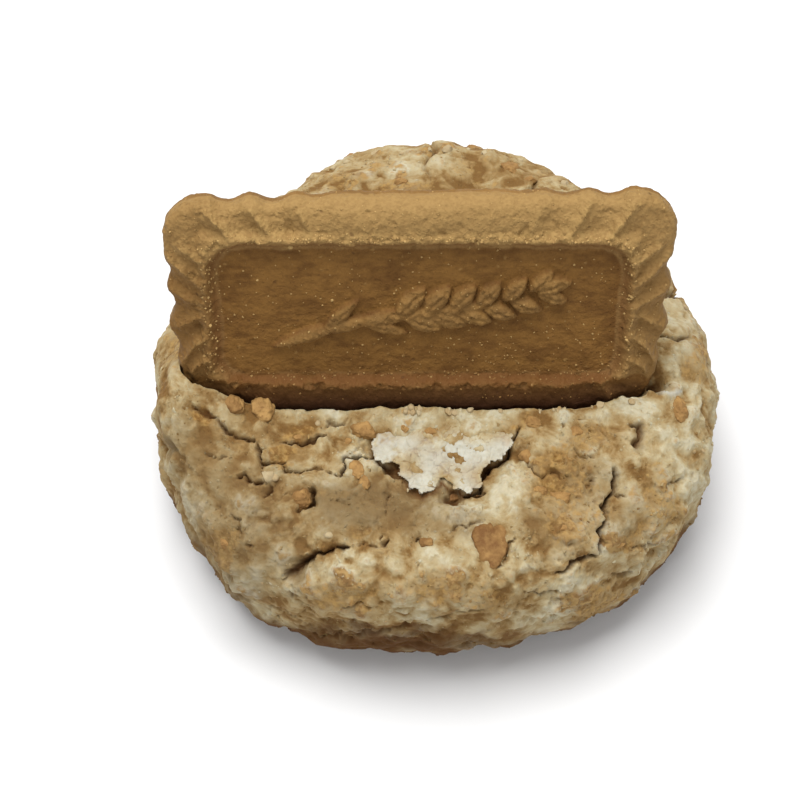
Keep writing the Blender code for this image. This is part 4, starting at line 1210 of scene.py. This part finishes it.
def makeGrains(slab, material):
    draw = random.Random(grains["seed"])
    tree = BVHTree.FromPolygons(
        [vertex.co / metres for vertex in slab.data.vertices],
        [tuple(face.vertices) for face in slab.data.polygons],
    )
    places, shades = [], []

    def drop(across, down, size):
        spot, normal = hitAt(tree, across, down)
        if spot is not None:
            # painted shade: grains lower down the biscuit, near its bottom edge, are darker
            bottomShade = 0.5 * max(0, (down - grains["shadeBelow"]) / grains["shadeFade"])
            places.append((spot, normal, size))
            shades.append(min(1, draw.uniform(*grains["dark"]) + bottomShade))

    def dropAll(count, area, scale):
        for _ in range(count):
            drop(draw.uniform(*area[0]), draw.uniform(*area[1]), draw.uniform(*grains["sizes"]) * scale)

    for across, down, size in grains["large"]:
        drop(across, down, size)
    dropAll(grains["panel"], grains["panelArea"], grains["panelSize"])
    for _ in range(grains["crest"]):
        lot = draw.random()
        size = draw.uniform(*grains["sizes"])
        name = next(name for name in ("top", "right", "left", "bottom") if lot < grains[name][0])
        _, run, spreadOut = grains[name]
        if name == "top":
            drop(draw.uniform(*run), draw.gauss(*spreadOut), size)
        elif name == "bottom":
            drop(draw.uniform(*run), draw.gauss(*spreadOut), size * grains["bottomSize"])
        else:
            drop(draw.gauss(*spreadOut), draw.uniform(*run), size)
    dropAll(grains["frame"], grains["frameArea"], grains["frameSize"])
    for (across, down), spreadX, spreadY, count in grains["heaps"]:
        for _ in range(count):
            right, low = draw.gauss(across, spreadX), draw.gauss(down, spreadY)
            drop(right, low, draw.uniform(*grains["sizes"]) * grains["heapSize"])
    item = scatterMesh("biscuitGrains", crumbShapes(8, 9, 1), places, {"dark": shades}, grains["seed"], 0.02)
    finishPiece(item, "biscuitGrains", material, (), 60)


# materials

def addNode(tree, kind, values=None, links=None, **settings):
    node = tree.nodes.new(kind)
    for name, value in settings.items():
        setattr(node, name, value)
    for name, value in (values or {}).items():
        node.inputs[name].default_value = value
    for name, source in (links or {}).items():
        tree.links.new(source, node.inputs[name])
    return node


def maths(tree, operation, first, second):
    node = addNode(tree, "ShaderNodeMath", operation=operation)
    for socket, value in zip(node.inputs, (first, second)):
        if isinstance(value, (int, float)):
            socket.default_value = value
        else:
            tree.links.new(value, socket)
    return node.outputs[0]


def spread(tree, value, low, high):  # 0 below low, 1 above high, smooth between
    node = addNode(tree, "ShaderNodeMapRange", {"From Min": low, "From Max": high}, {"Value": value})
    node.interpolation_type = "SMOOTHSTEP"
    return node.outputs["Result"]


def blendColours(tree, share, first, second, mode="MIX"):
    node = addNode(tree, "ShaderNodeMix", data_type="RGBA", blend_type=mode, clamp_factor=True)
    for socket, value in zip((node.inputs[0], node.inputs[6], node.inputs[7]), (share, first, second)):
        if isinstance(value, tuple):
            socket.default_value = (*value, 1)
        elif isinstance(value, (int, float)):
            socket.default_value = value
        else:
            tree.links.new(value, socket)
    return node.outputs[2]


def weigh(tree, *parts, shift=0.0):  # a sum of values, each times its weight
    total = shift
    for value, weight in parts:
        node = addNode(tree, "ShaderNodeMath", operation="MULTIPLY_ADD")
        tree.links.new(value, node.inputs[0])
        node.inputs[1].default_value = weight
        if isinstance(total, (int, float)):
            node.inputs[2].default_value = total
        else:
            tree.links.new(total, node.inputs[2])
        total = node.outputs[0]
    return total


def toneColour(tree, tone, stops):
    node = addNode(tree, "ShaderNodeValToRGB", links={"Fac": tone})
    elements = node.color_ramp.elements
    while len(elements) < len(stops):
        elements.new(0.5)
    for element, (place, colour) in zip(elements, stops):
        element.position = place
        element.color = (*colour, 1)
    return node.outputs["Color"]


def mask(tree, name):
    return addNode(tree, "ShaderNodeAttribute", attribute_name=name).outputs["Fac"]


def millimetreCoords(tree):
    coords = addNode(tree, "ShaderNodeTexCoord").outputs["Object"]
    scale = (1 / metres, 1 / metres, 1 / metres)
    return addNode(tree, "ShaderNodeMapping", {"Scale": scale}, {"Vector": coords}).outputs[0]


def layOn(tree, colour, paint, share, strength=1.0):
    if strength < 1:
        share = maths(tree, "MULTIPLY", share, strength)
    return blendColours(tree, share, colour, paint)


def speckle(tree, colour, crumb, look):  # slightly darker between the grains
    shade = spread(tree, crumb["Grain"], *look["grain"])
    speckled = blendColours(tree, shade, look["grainShade"], (1.0, 1.0, 1.0))
    return blendColours(tree, 1.0, colour, speckled, "MULTIPLY")


def makeCrumbGroup():  # sandy grain, dark pores and pale flecks, for anything baked
    tree = bpy.data.node_groups.new("bakedCrumb", "ShaderNodeTree")
    for name in ("Grain Size", "Pore Spacing", "Pore Share", "Fleck Spacing", "Fleck Share"):
        socket = tree.interface.new_socket(name, in_out="INPUT", socket_type="NodeSocketFloat")
        socket.default_value = 0.5
    for name in ("Grain", "Pores", "Flecks", "Height"):
        tree.interface.new_socket(name, in_out="OUTPUT", socket_type="NodeSocketFloat")
    given = tree.nodes.new("NodeGroupInput").outputs
    result = tree.nodes.new("NodeGroupOutput").inputs
    inMillimetres = millimetreCoords(tree)
    grainScale = maths(tree, "DIVIDE", 1.0, given["Grain Size"])
    coarseScale = maths(tree, "MULTIPLY", grainScale, 0.4)
    fine = addNode(tree, "ShaderNodeTexNoise", {"Detail": 1.5, "Roughness": 0.5},
                   {"Vector": inMillimetres, "Scale": grainScale}).outputs["Fac"]
    coarse = addNode(tree, "ShaderNodeTexNoise", {"Detail": 2.0, "Roughness": 0.5},
                     {"Vector": inMillimetres, "Scale": coarseScale}).outputs["Fac"]
    tree.links.new(weigh(tree, (fine, 0.6), (coarse, 0.4)), result["Grain"])

    def bentCells(scale, bend):  # cells with crooked edges
        warp = addNode(tree, "ShaderNodeTexNoise", {"Detail": 1.0}, {"Vector": inMillimetres, "Scale": scale})
        bent = addNode(tree, "ShaderNodeVectorMath", operation="MULTIPLY_ADD")
        tree.links.new(warp.outputs["Color"], bent.inputs[0])
        bent.inputs[1].default_value = (bend, bend, bend)
        tree.links.new(inMillimetres, bent.inputs[2])
        found = addNode(tree, "ShaderNodeTexVoronoi", links={"Vector": bent.outputs[0], "Scale": scale})
        lots = addNode(tree, "ShaderNodeSeparateColor", links={"Color": found.outputs["Color"]}).outputs
        return found.outputs["Distance"], lots

    def dots(spacing, share, core, rim):  # a spot in some of the cells
        away, lots = bentCells(maths(tree, "DIVIDE", 1.0, spacing), 0.6)
        isDot = maths(tree, "LESS_THAN", lots[0], share)
        return maths(tree, "MULTIPLY", spread(tree, away, rim, core), isDot)

    pores = dots(given["Pore Spacing"], given["Pore Share"], 0.08, 0.26)
    flecks = dots(given["Fleck Spacing"], given["Fleck Share"], 0.12, 0.34)
    tree.links.new(pores, result["Pores"])
    tree.links.new(flecks, result["Flecks"])
    away, lots = bentCells(grainScale, 0.3)
    dome = maths(tree, "MULTIPLY", spread(tree, away, 0.5, 0.0), lots[1])
    height = weigh(tree, (dome, 0.25), (coarse, 0.8), (fine, 0.4), (pores, -0.25), (flecks, 0.2))
    tree.links.new(height, result["Height"])
    return tree


def startMaterial(name, look):
    material = bpy.data.materials.new(name)
    material.use_nodes = True
    tree = material.node_tree
    shader = tree.nodes["Principled BSDF"]
    shader.inputs["Roughness"].default_value = look["roughness"]
    shader.inputs["Specular IOR Level"].default_value = look["shine"]
    return material, tree, shader, millimetreCoords(tree)


def addCrumb(tree, group, look):
    node = addNode(tree, "ShaderNodeGroup", node_tree=group)
    for socket, value in zip(node.inputs, look["crumb"]):
        socket.default_value = value
    return node.outputs


def finishMaterial(tree, shader, colour, crumb, look):
    tree.links.new(colour, shader.inputs["Base Color"])
    bump = addNode(tree, "ShaderNodeBump", {"Distance": look["bump"]}, {"Height": crumb["Height"]})
    tree.links.new(bump.outputs["Normal"], shader.inputs["Normal"])


def blotches(tree, vector, size, detail=2.0, roughness=0.55, distortion=0.0):
    values = {"Scale": 1 / size, "Detail": detail, "Roughness": roughness, "Distortion": distortion}
    return addNode(tree, "ShaderNodeTexNoise", values, {"Vector": vector}).outputs["Fac"]


# in each look, crumb is the grain size, pore spacing and share, and fleck spacing and share
doughLook = {
    # from its brownest crumb to its palest
    "tones": ((0.0, (0.185, 0.100, 0.031)), (0.25, (0.28, 0.181, 0.073)), (0.5, (0.355, 0.266, 0.134)),
              (0.75, (0.415, 0.341, 0.200)), (1.0, (0.485, 0.437, 0.308))),
    "golden": (0.36, 0.223, 0.076), "goldenDark": (0.20, 0.100, 0.026), "goldenStrength": 0.92,
    # base is partly baked brown and partly painted shade; shaded is painted shade
    "white": (0.505, 0.515, 0.475), "shaded": (0.18, 0.12, 0.054), "base": (0.085, 0.034, 0.008),
    # crackShade is painted shade in cracks, pits and under the flake's edge
    "crackShade": (0.105, 0.047, 0.014), "pore": (0.16, 0.088, 0.030),
    "softness": 0.45, "softRadius": (1.0, 0.82, 0.62), "softDepth": 0.0006,  # light that seeps through it
    "roughness": 0.9, "shine": 0.12, "crumb": (0.6, 1.5, 0.03, 1.5, 0.2), "bump": 0.00032,
    "grain": (0.3, 0.7), "grainShade": (0.89, 0.87, 0.84),
    "broad": 9.0, "middle": 2.8, "small": 0.9,  # sizes of its blotches in mm
}


def makeDoughMaterial(group):
    look = doughLook
    material, tree, shader, inMillimetres = startMaterial("bakedDough", look)
    shader.inputs["Subsurface Weight"].default_value = look["softness"]
    shader.inputs["Subsurface Radius"].default_value = look["softRadius"]
    shader.inputs["Subsurface Scale"].default_value = look["softDepth"]
    crumb = addCrumb(tree, group, look)
    broad = blotches(tree, inMillimetres, look["broad"], 1.0)
    middle = blotches(tree, inMillimetres, look["middle"], 4.0, 0.7, 0.5)
    small = blotches(tree, inMillimetres, look["small"], 2.0, 0.6)
    tone = spread(tree, weigh(tree, (broad, 0.42), (middle, 0.48), (small, 0.10)), 0.38, 0.62)
    # painted shade: darker where the crumb is low; painted highlight: paler where it is high; pale patches
    # are paler crumb, in places painted light
    tone = weigh(tree, (tone, 0.68), (mask(tree, "high"), 0.44), (mask(tree, "hollow"), -0.60),
                 (mask(tree, "pale"), 0.6), (mask(tree, "away"), -0.10), (crumb["Flecks"], -0.04), shift=0.15)
    colour = toneColour(tree, tone, look["tones"])

    # golden brown crumb, ragged and spotted
    ragged = weigh(tree, (mask(tree, "browned"), 1.0), (small, 0.9), (middle, 1.3),
                   (mask(tree, "high"), 0.45), shift=-1.17)
    golden = blendColours(tree, spread(tree, small, 0.62, 0.38), look["golden"], look["goldenDark"])
    colour = layOn(tree, colour, golden, spread(tree, ragged, 0.2, 0.7), look["goldenStrength"])

    # whitest torn crumb, painted shade on shaded sides, a dark base band that is partly baked brown and
    # partly painted shade, dark pores, and painted shade in the cracks
    for name, strength in (("white", 1), ("shaded", 0.95), ("base", 0.95)):
        colour = layOn(tree, colour, look[name], mask(tree, name), strength)
    colour = layOn(tree, colour, look["pore"], crumb["Pores"], 0.35)
    colour = layOn(tree, colour, look["crackShade"], mask(tree, "crackShade"))
    finishMaterial(tree, shader, speckle(tree, colour, crumb, look), crumb, look)
    return material


bitLook = {
    "light": (0.385, 0.225, 0.076), "dark": (0.155, 0.070, 0.020),
    "seam": (0.23, 0.135, 0.048), "pore": (0.15, 0.065, 0.018),
    "roughness": 0.8, "shine": 0.25, "crumb": (0.45, 0.9, 0.15, 0.9, 0.3), "bump": 0.0003, "cloud": 1.8,
}


def makeBitMaterial(group):
    look = bitLook
    material, tree, shader, inMillimetres = startMaterial("bakedBits", look)
    crumb = addCrumb(tree, group, look)
    cloud = blotches(tree, inMillimetres, look["cloud"], 3.0)
    level = weigh(tree, (mask(tree, "dark"), 0.9), (cloud, 1.6), (crumb["Grain"], 0.4), shift=-0.92)
    colour = blendColours(tree, level, look["light"], look["dark"])
    colour = layOn(tree, colour, look["pore"], crumb["Pores"], 0.5)
    colour = layOn(tree, colour, look["seam"], mask(tree, "buried"), 0.75)
    finishMaterial(tree, shader, colour, crumb, look)
    return material


crumbLook = {
    "looseCrumbs": ((0.44, 0.36, 0.22), (0.31, 0.19, 0.07)),  # light and dark ones
    "biscuitGrains": ((0.46, 0.30, 0.115), (0.20, 0.095, 0.026)),
    "roughness": 0.9, "shine": 0.25, "crumb": (0.25, 0.6, 0.2, 0.8, 0.2), "bump": 0.0001,
}


def makeCrumbMaterial(group, name):
    look = crumbLook
    material, tree, shader, _ = startMaterial(name, look)
    crumb = addCrumb(tree, group, look)
    level = weigh(tree, (mask(tree, "dark"), 1.0), (crumb["Grain"], 0.8), shift=-0.4)
    finishMaterial(tree, shader, blendColours(tree, level, *look[name]), crumb, look)
    return material


biscuitLook = {
    "panel": (0.218, 0.105, 0.022), "panelDark": (0.126, 0.054, 0.009),
    # the dust colour also stands for painted highlight
    "rim": (0.302, 0.180, 0.060), "side": (0.148, 0.062, 0.009), "dustAndHighlightTone": (0.40, 0.255, 0.09),
    # redShade, and the dark colour at the bottom edge, are painted shade
    "redShade": (0.135, 0.050, 0.010), "footShadeAndToast": (0.045, 0.0135, 0.0022), "pore": (0.085, 0.034, 0.009),
    # ribShade is painted shade in the rib hollows
    "fleck": (0.40, 0.24, 0.08), "ribShade": (0.20, 0.10, 0.027),
    "roughness": 0.78, "shine": 0.25, "crumb": (0.42, 1.2, 0.05, 0.9, 0.10), "bump": 0.0003,
    "grain": (0.25, 0.75), "grainShade": (0.88, 0.87, 0.85),
    "streaks": 0.9, "drawnOut": (0.45, 1, 1), "clouds": 5.0,
}


def makeBiscuitMaterial(group):
    look = biscuitLook
    material, tree, shader, inMillimetres = startMaterial("speculoosBiscuit", look)
    crumb = addCrumb(tree, group, look)

    # fine mottling, drawn out along the biscuit
    drawnOut = addNode(tree, "ShaderNodeMapping", {"Scale": look["drawnOut"]}, {"Vector": inMillimetres})
    streaks = blotches(tree, drawnOut.outputs[0], look["streaks"], 3.0, 0.6)
    clouds = blotches(tree, inMillimetres, look["clouds"], 3.0)
    level = weigh(tree, (streaks, 0.5), (clouds, 0.5))
    panel = blendColours(tree, spread(tree, level, 0.34, 0.64), look["panelDark"], look["panel"])

    # its frame, with painted shade below the panel and in the rib hollows, then dust with painted highlight
    # on what stands up, and painted shade in red along the panel's walls and round the relief, and painted
    # shade, partly toast, at the bottom edge
    frame = blendColours(tree, mask(tree, "lowerFrame"), look["rim"], look["side"])
    frame = layOn(tree, frame, look["ribShade"], mask(tree, "ribHollowShade"), 0.25)
    colour = blendColours(tree, maths(tree, "SUBTRACT", 1.0, mask(tree, "onPanel")), panel, frame)
    dustAndHighlight = maths(tree, "MULTIPLY", mask(tree, "dustAndHighlight"), spread(tree, crumb["Grain"], 0.35, 0.6))
    # painted shade in red along the panel's walls
    ragged = maths(tree, "MULTIPLY", mask(tree, "wall"), spread(tree, clouds, 0.2, 0.5))
    for paint, share, strength in (
        ("rim", mask(tree, "raised"), 0.3), ("dustAndHighlightTone", dustAndHighlight, 0.55), ("redShade", ragged, 0.65),
        ("redShade", mask(tree, "reliefRimShade"), 0.5), ("fleck", crumb["Flecks"], 0.35),
        ("pore", crumb["Pores"], 0.5), ("footShadeAndToast", mask(tree, "footShadeAndToast"), 1),
    ):
        colour = layOn(tree, colour, look[paint], share, strength)
    finishMaterial(tree, shader, speckle(tree, colour, crumb, look), crumb, look)
    return material


# floor and light

studio = {
    "floor": (0.74, 0.74, 0.74), "floorShade": 0.985, "floorCloud": 300.0, "floorSize": 6.0,
    "roughness": 0.7, "shine": 0.25,
    "sky": (1.0, 1.0, 1.0), "skyStrength": 0.52,
    "keyPlace": (-0.09, 0.14, 0.80), "keySize": 0.5, "keyPower": 8.2,
    "fillPlace": (0.25, -0.7, 0.6), "fillSize": 0.6, "fillPower": 1.2,
    "aim": (0, 0, 0.02),
}


def makeLight(name, place, size, power):
    aim = Vector(studio["aim"]) - Vector(place)
    bpy.ops.object.light_add(type="AREA", location=place, rotation=aim.to_track_quat("-Z", "Y").to_euler())
    light = bpy.context.object
    light.name = name
    light.data.size = size
    light.data.energy = power


def makeStudio():
    floor = addMesh(bpy.ops.mesh.primitive_plane_add, size=studio["floorSize"])
    floor.name = "paleFloor"
    material, tree, shader, inMillimetres = startMaterial("paleFloor", studio)
    cloud = blotches(tree, inMillimetres, studio["floorCloud"], 1.0)
    shade = tuple(value * studio["floorShade"] for value in studio["floor"])
    tree.links.new(blendColours(tree, cloud, studio["floor"], shade), shader.inputs["Base Color"])
    floor.data.materials.append(material)

    world = bpy.data.worlds.new("softSky")
    bpy.context.scene.world = world
    world.use_nodes = True
    sky = world.node_tree.nodes["Background"].inputs
    sky["Color"].default_value = (*studio["sky"], 1)
    sky["Strength"].default_value = studio["skyStrength"]
    makeLight("keyLight", studio["keyPlace"], studio["keySize"], studio["keyPower"])
    makeLight("fillLight", studio["fillPlace"], studio["fillSize"], studio["fillPower"])
    bpy.context.scene.view_settings.view_transform = "Standard"
    print("floor and lights set")


makeCamera()
makeStudio()
crumbGroup = makeCrumbGroup()
ribbedBiscuit = makeBiscuit(makeBiscuitMaterial(crumbGroup))
makeGrains(ribbedBiscuit, makeCrumbMaterial(crumbGroup, "biscuitGrains"))
doughMaterial = makeDoughMaterial(crumbGroup)
doughBody = makeDough()
makeBits(doughBody, makeBitMaterial(crumbGroup))
makeFlake(doughBody, doughMaterial)
makeCrumbs(doughBody, makeCrumbMaterial(crumbGroup, "looseCrumbs"))
makeGrit(doughBody, doughMaterial)
finishPiece(doughBody, "cookieDough", doughMaterial, ["cookie"], 70)
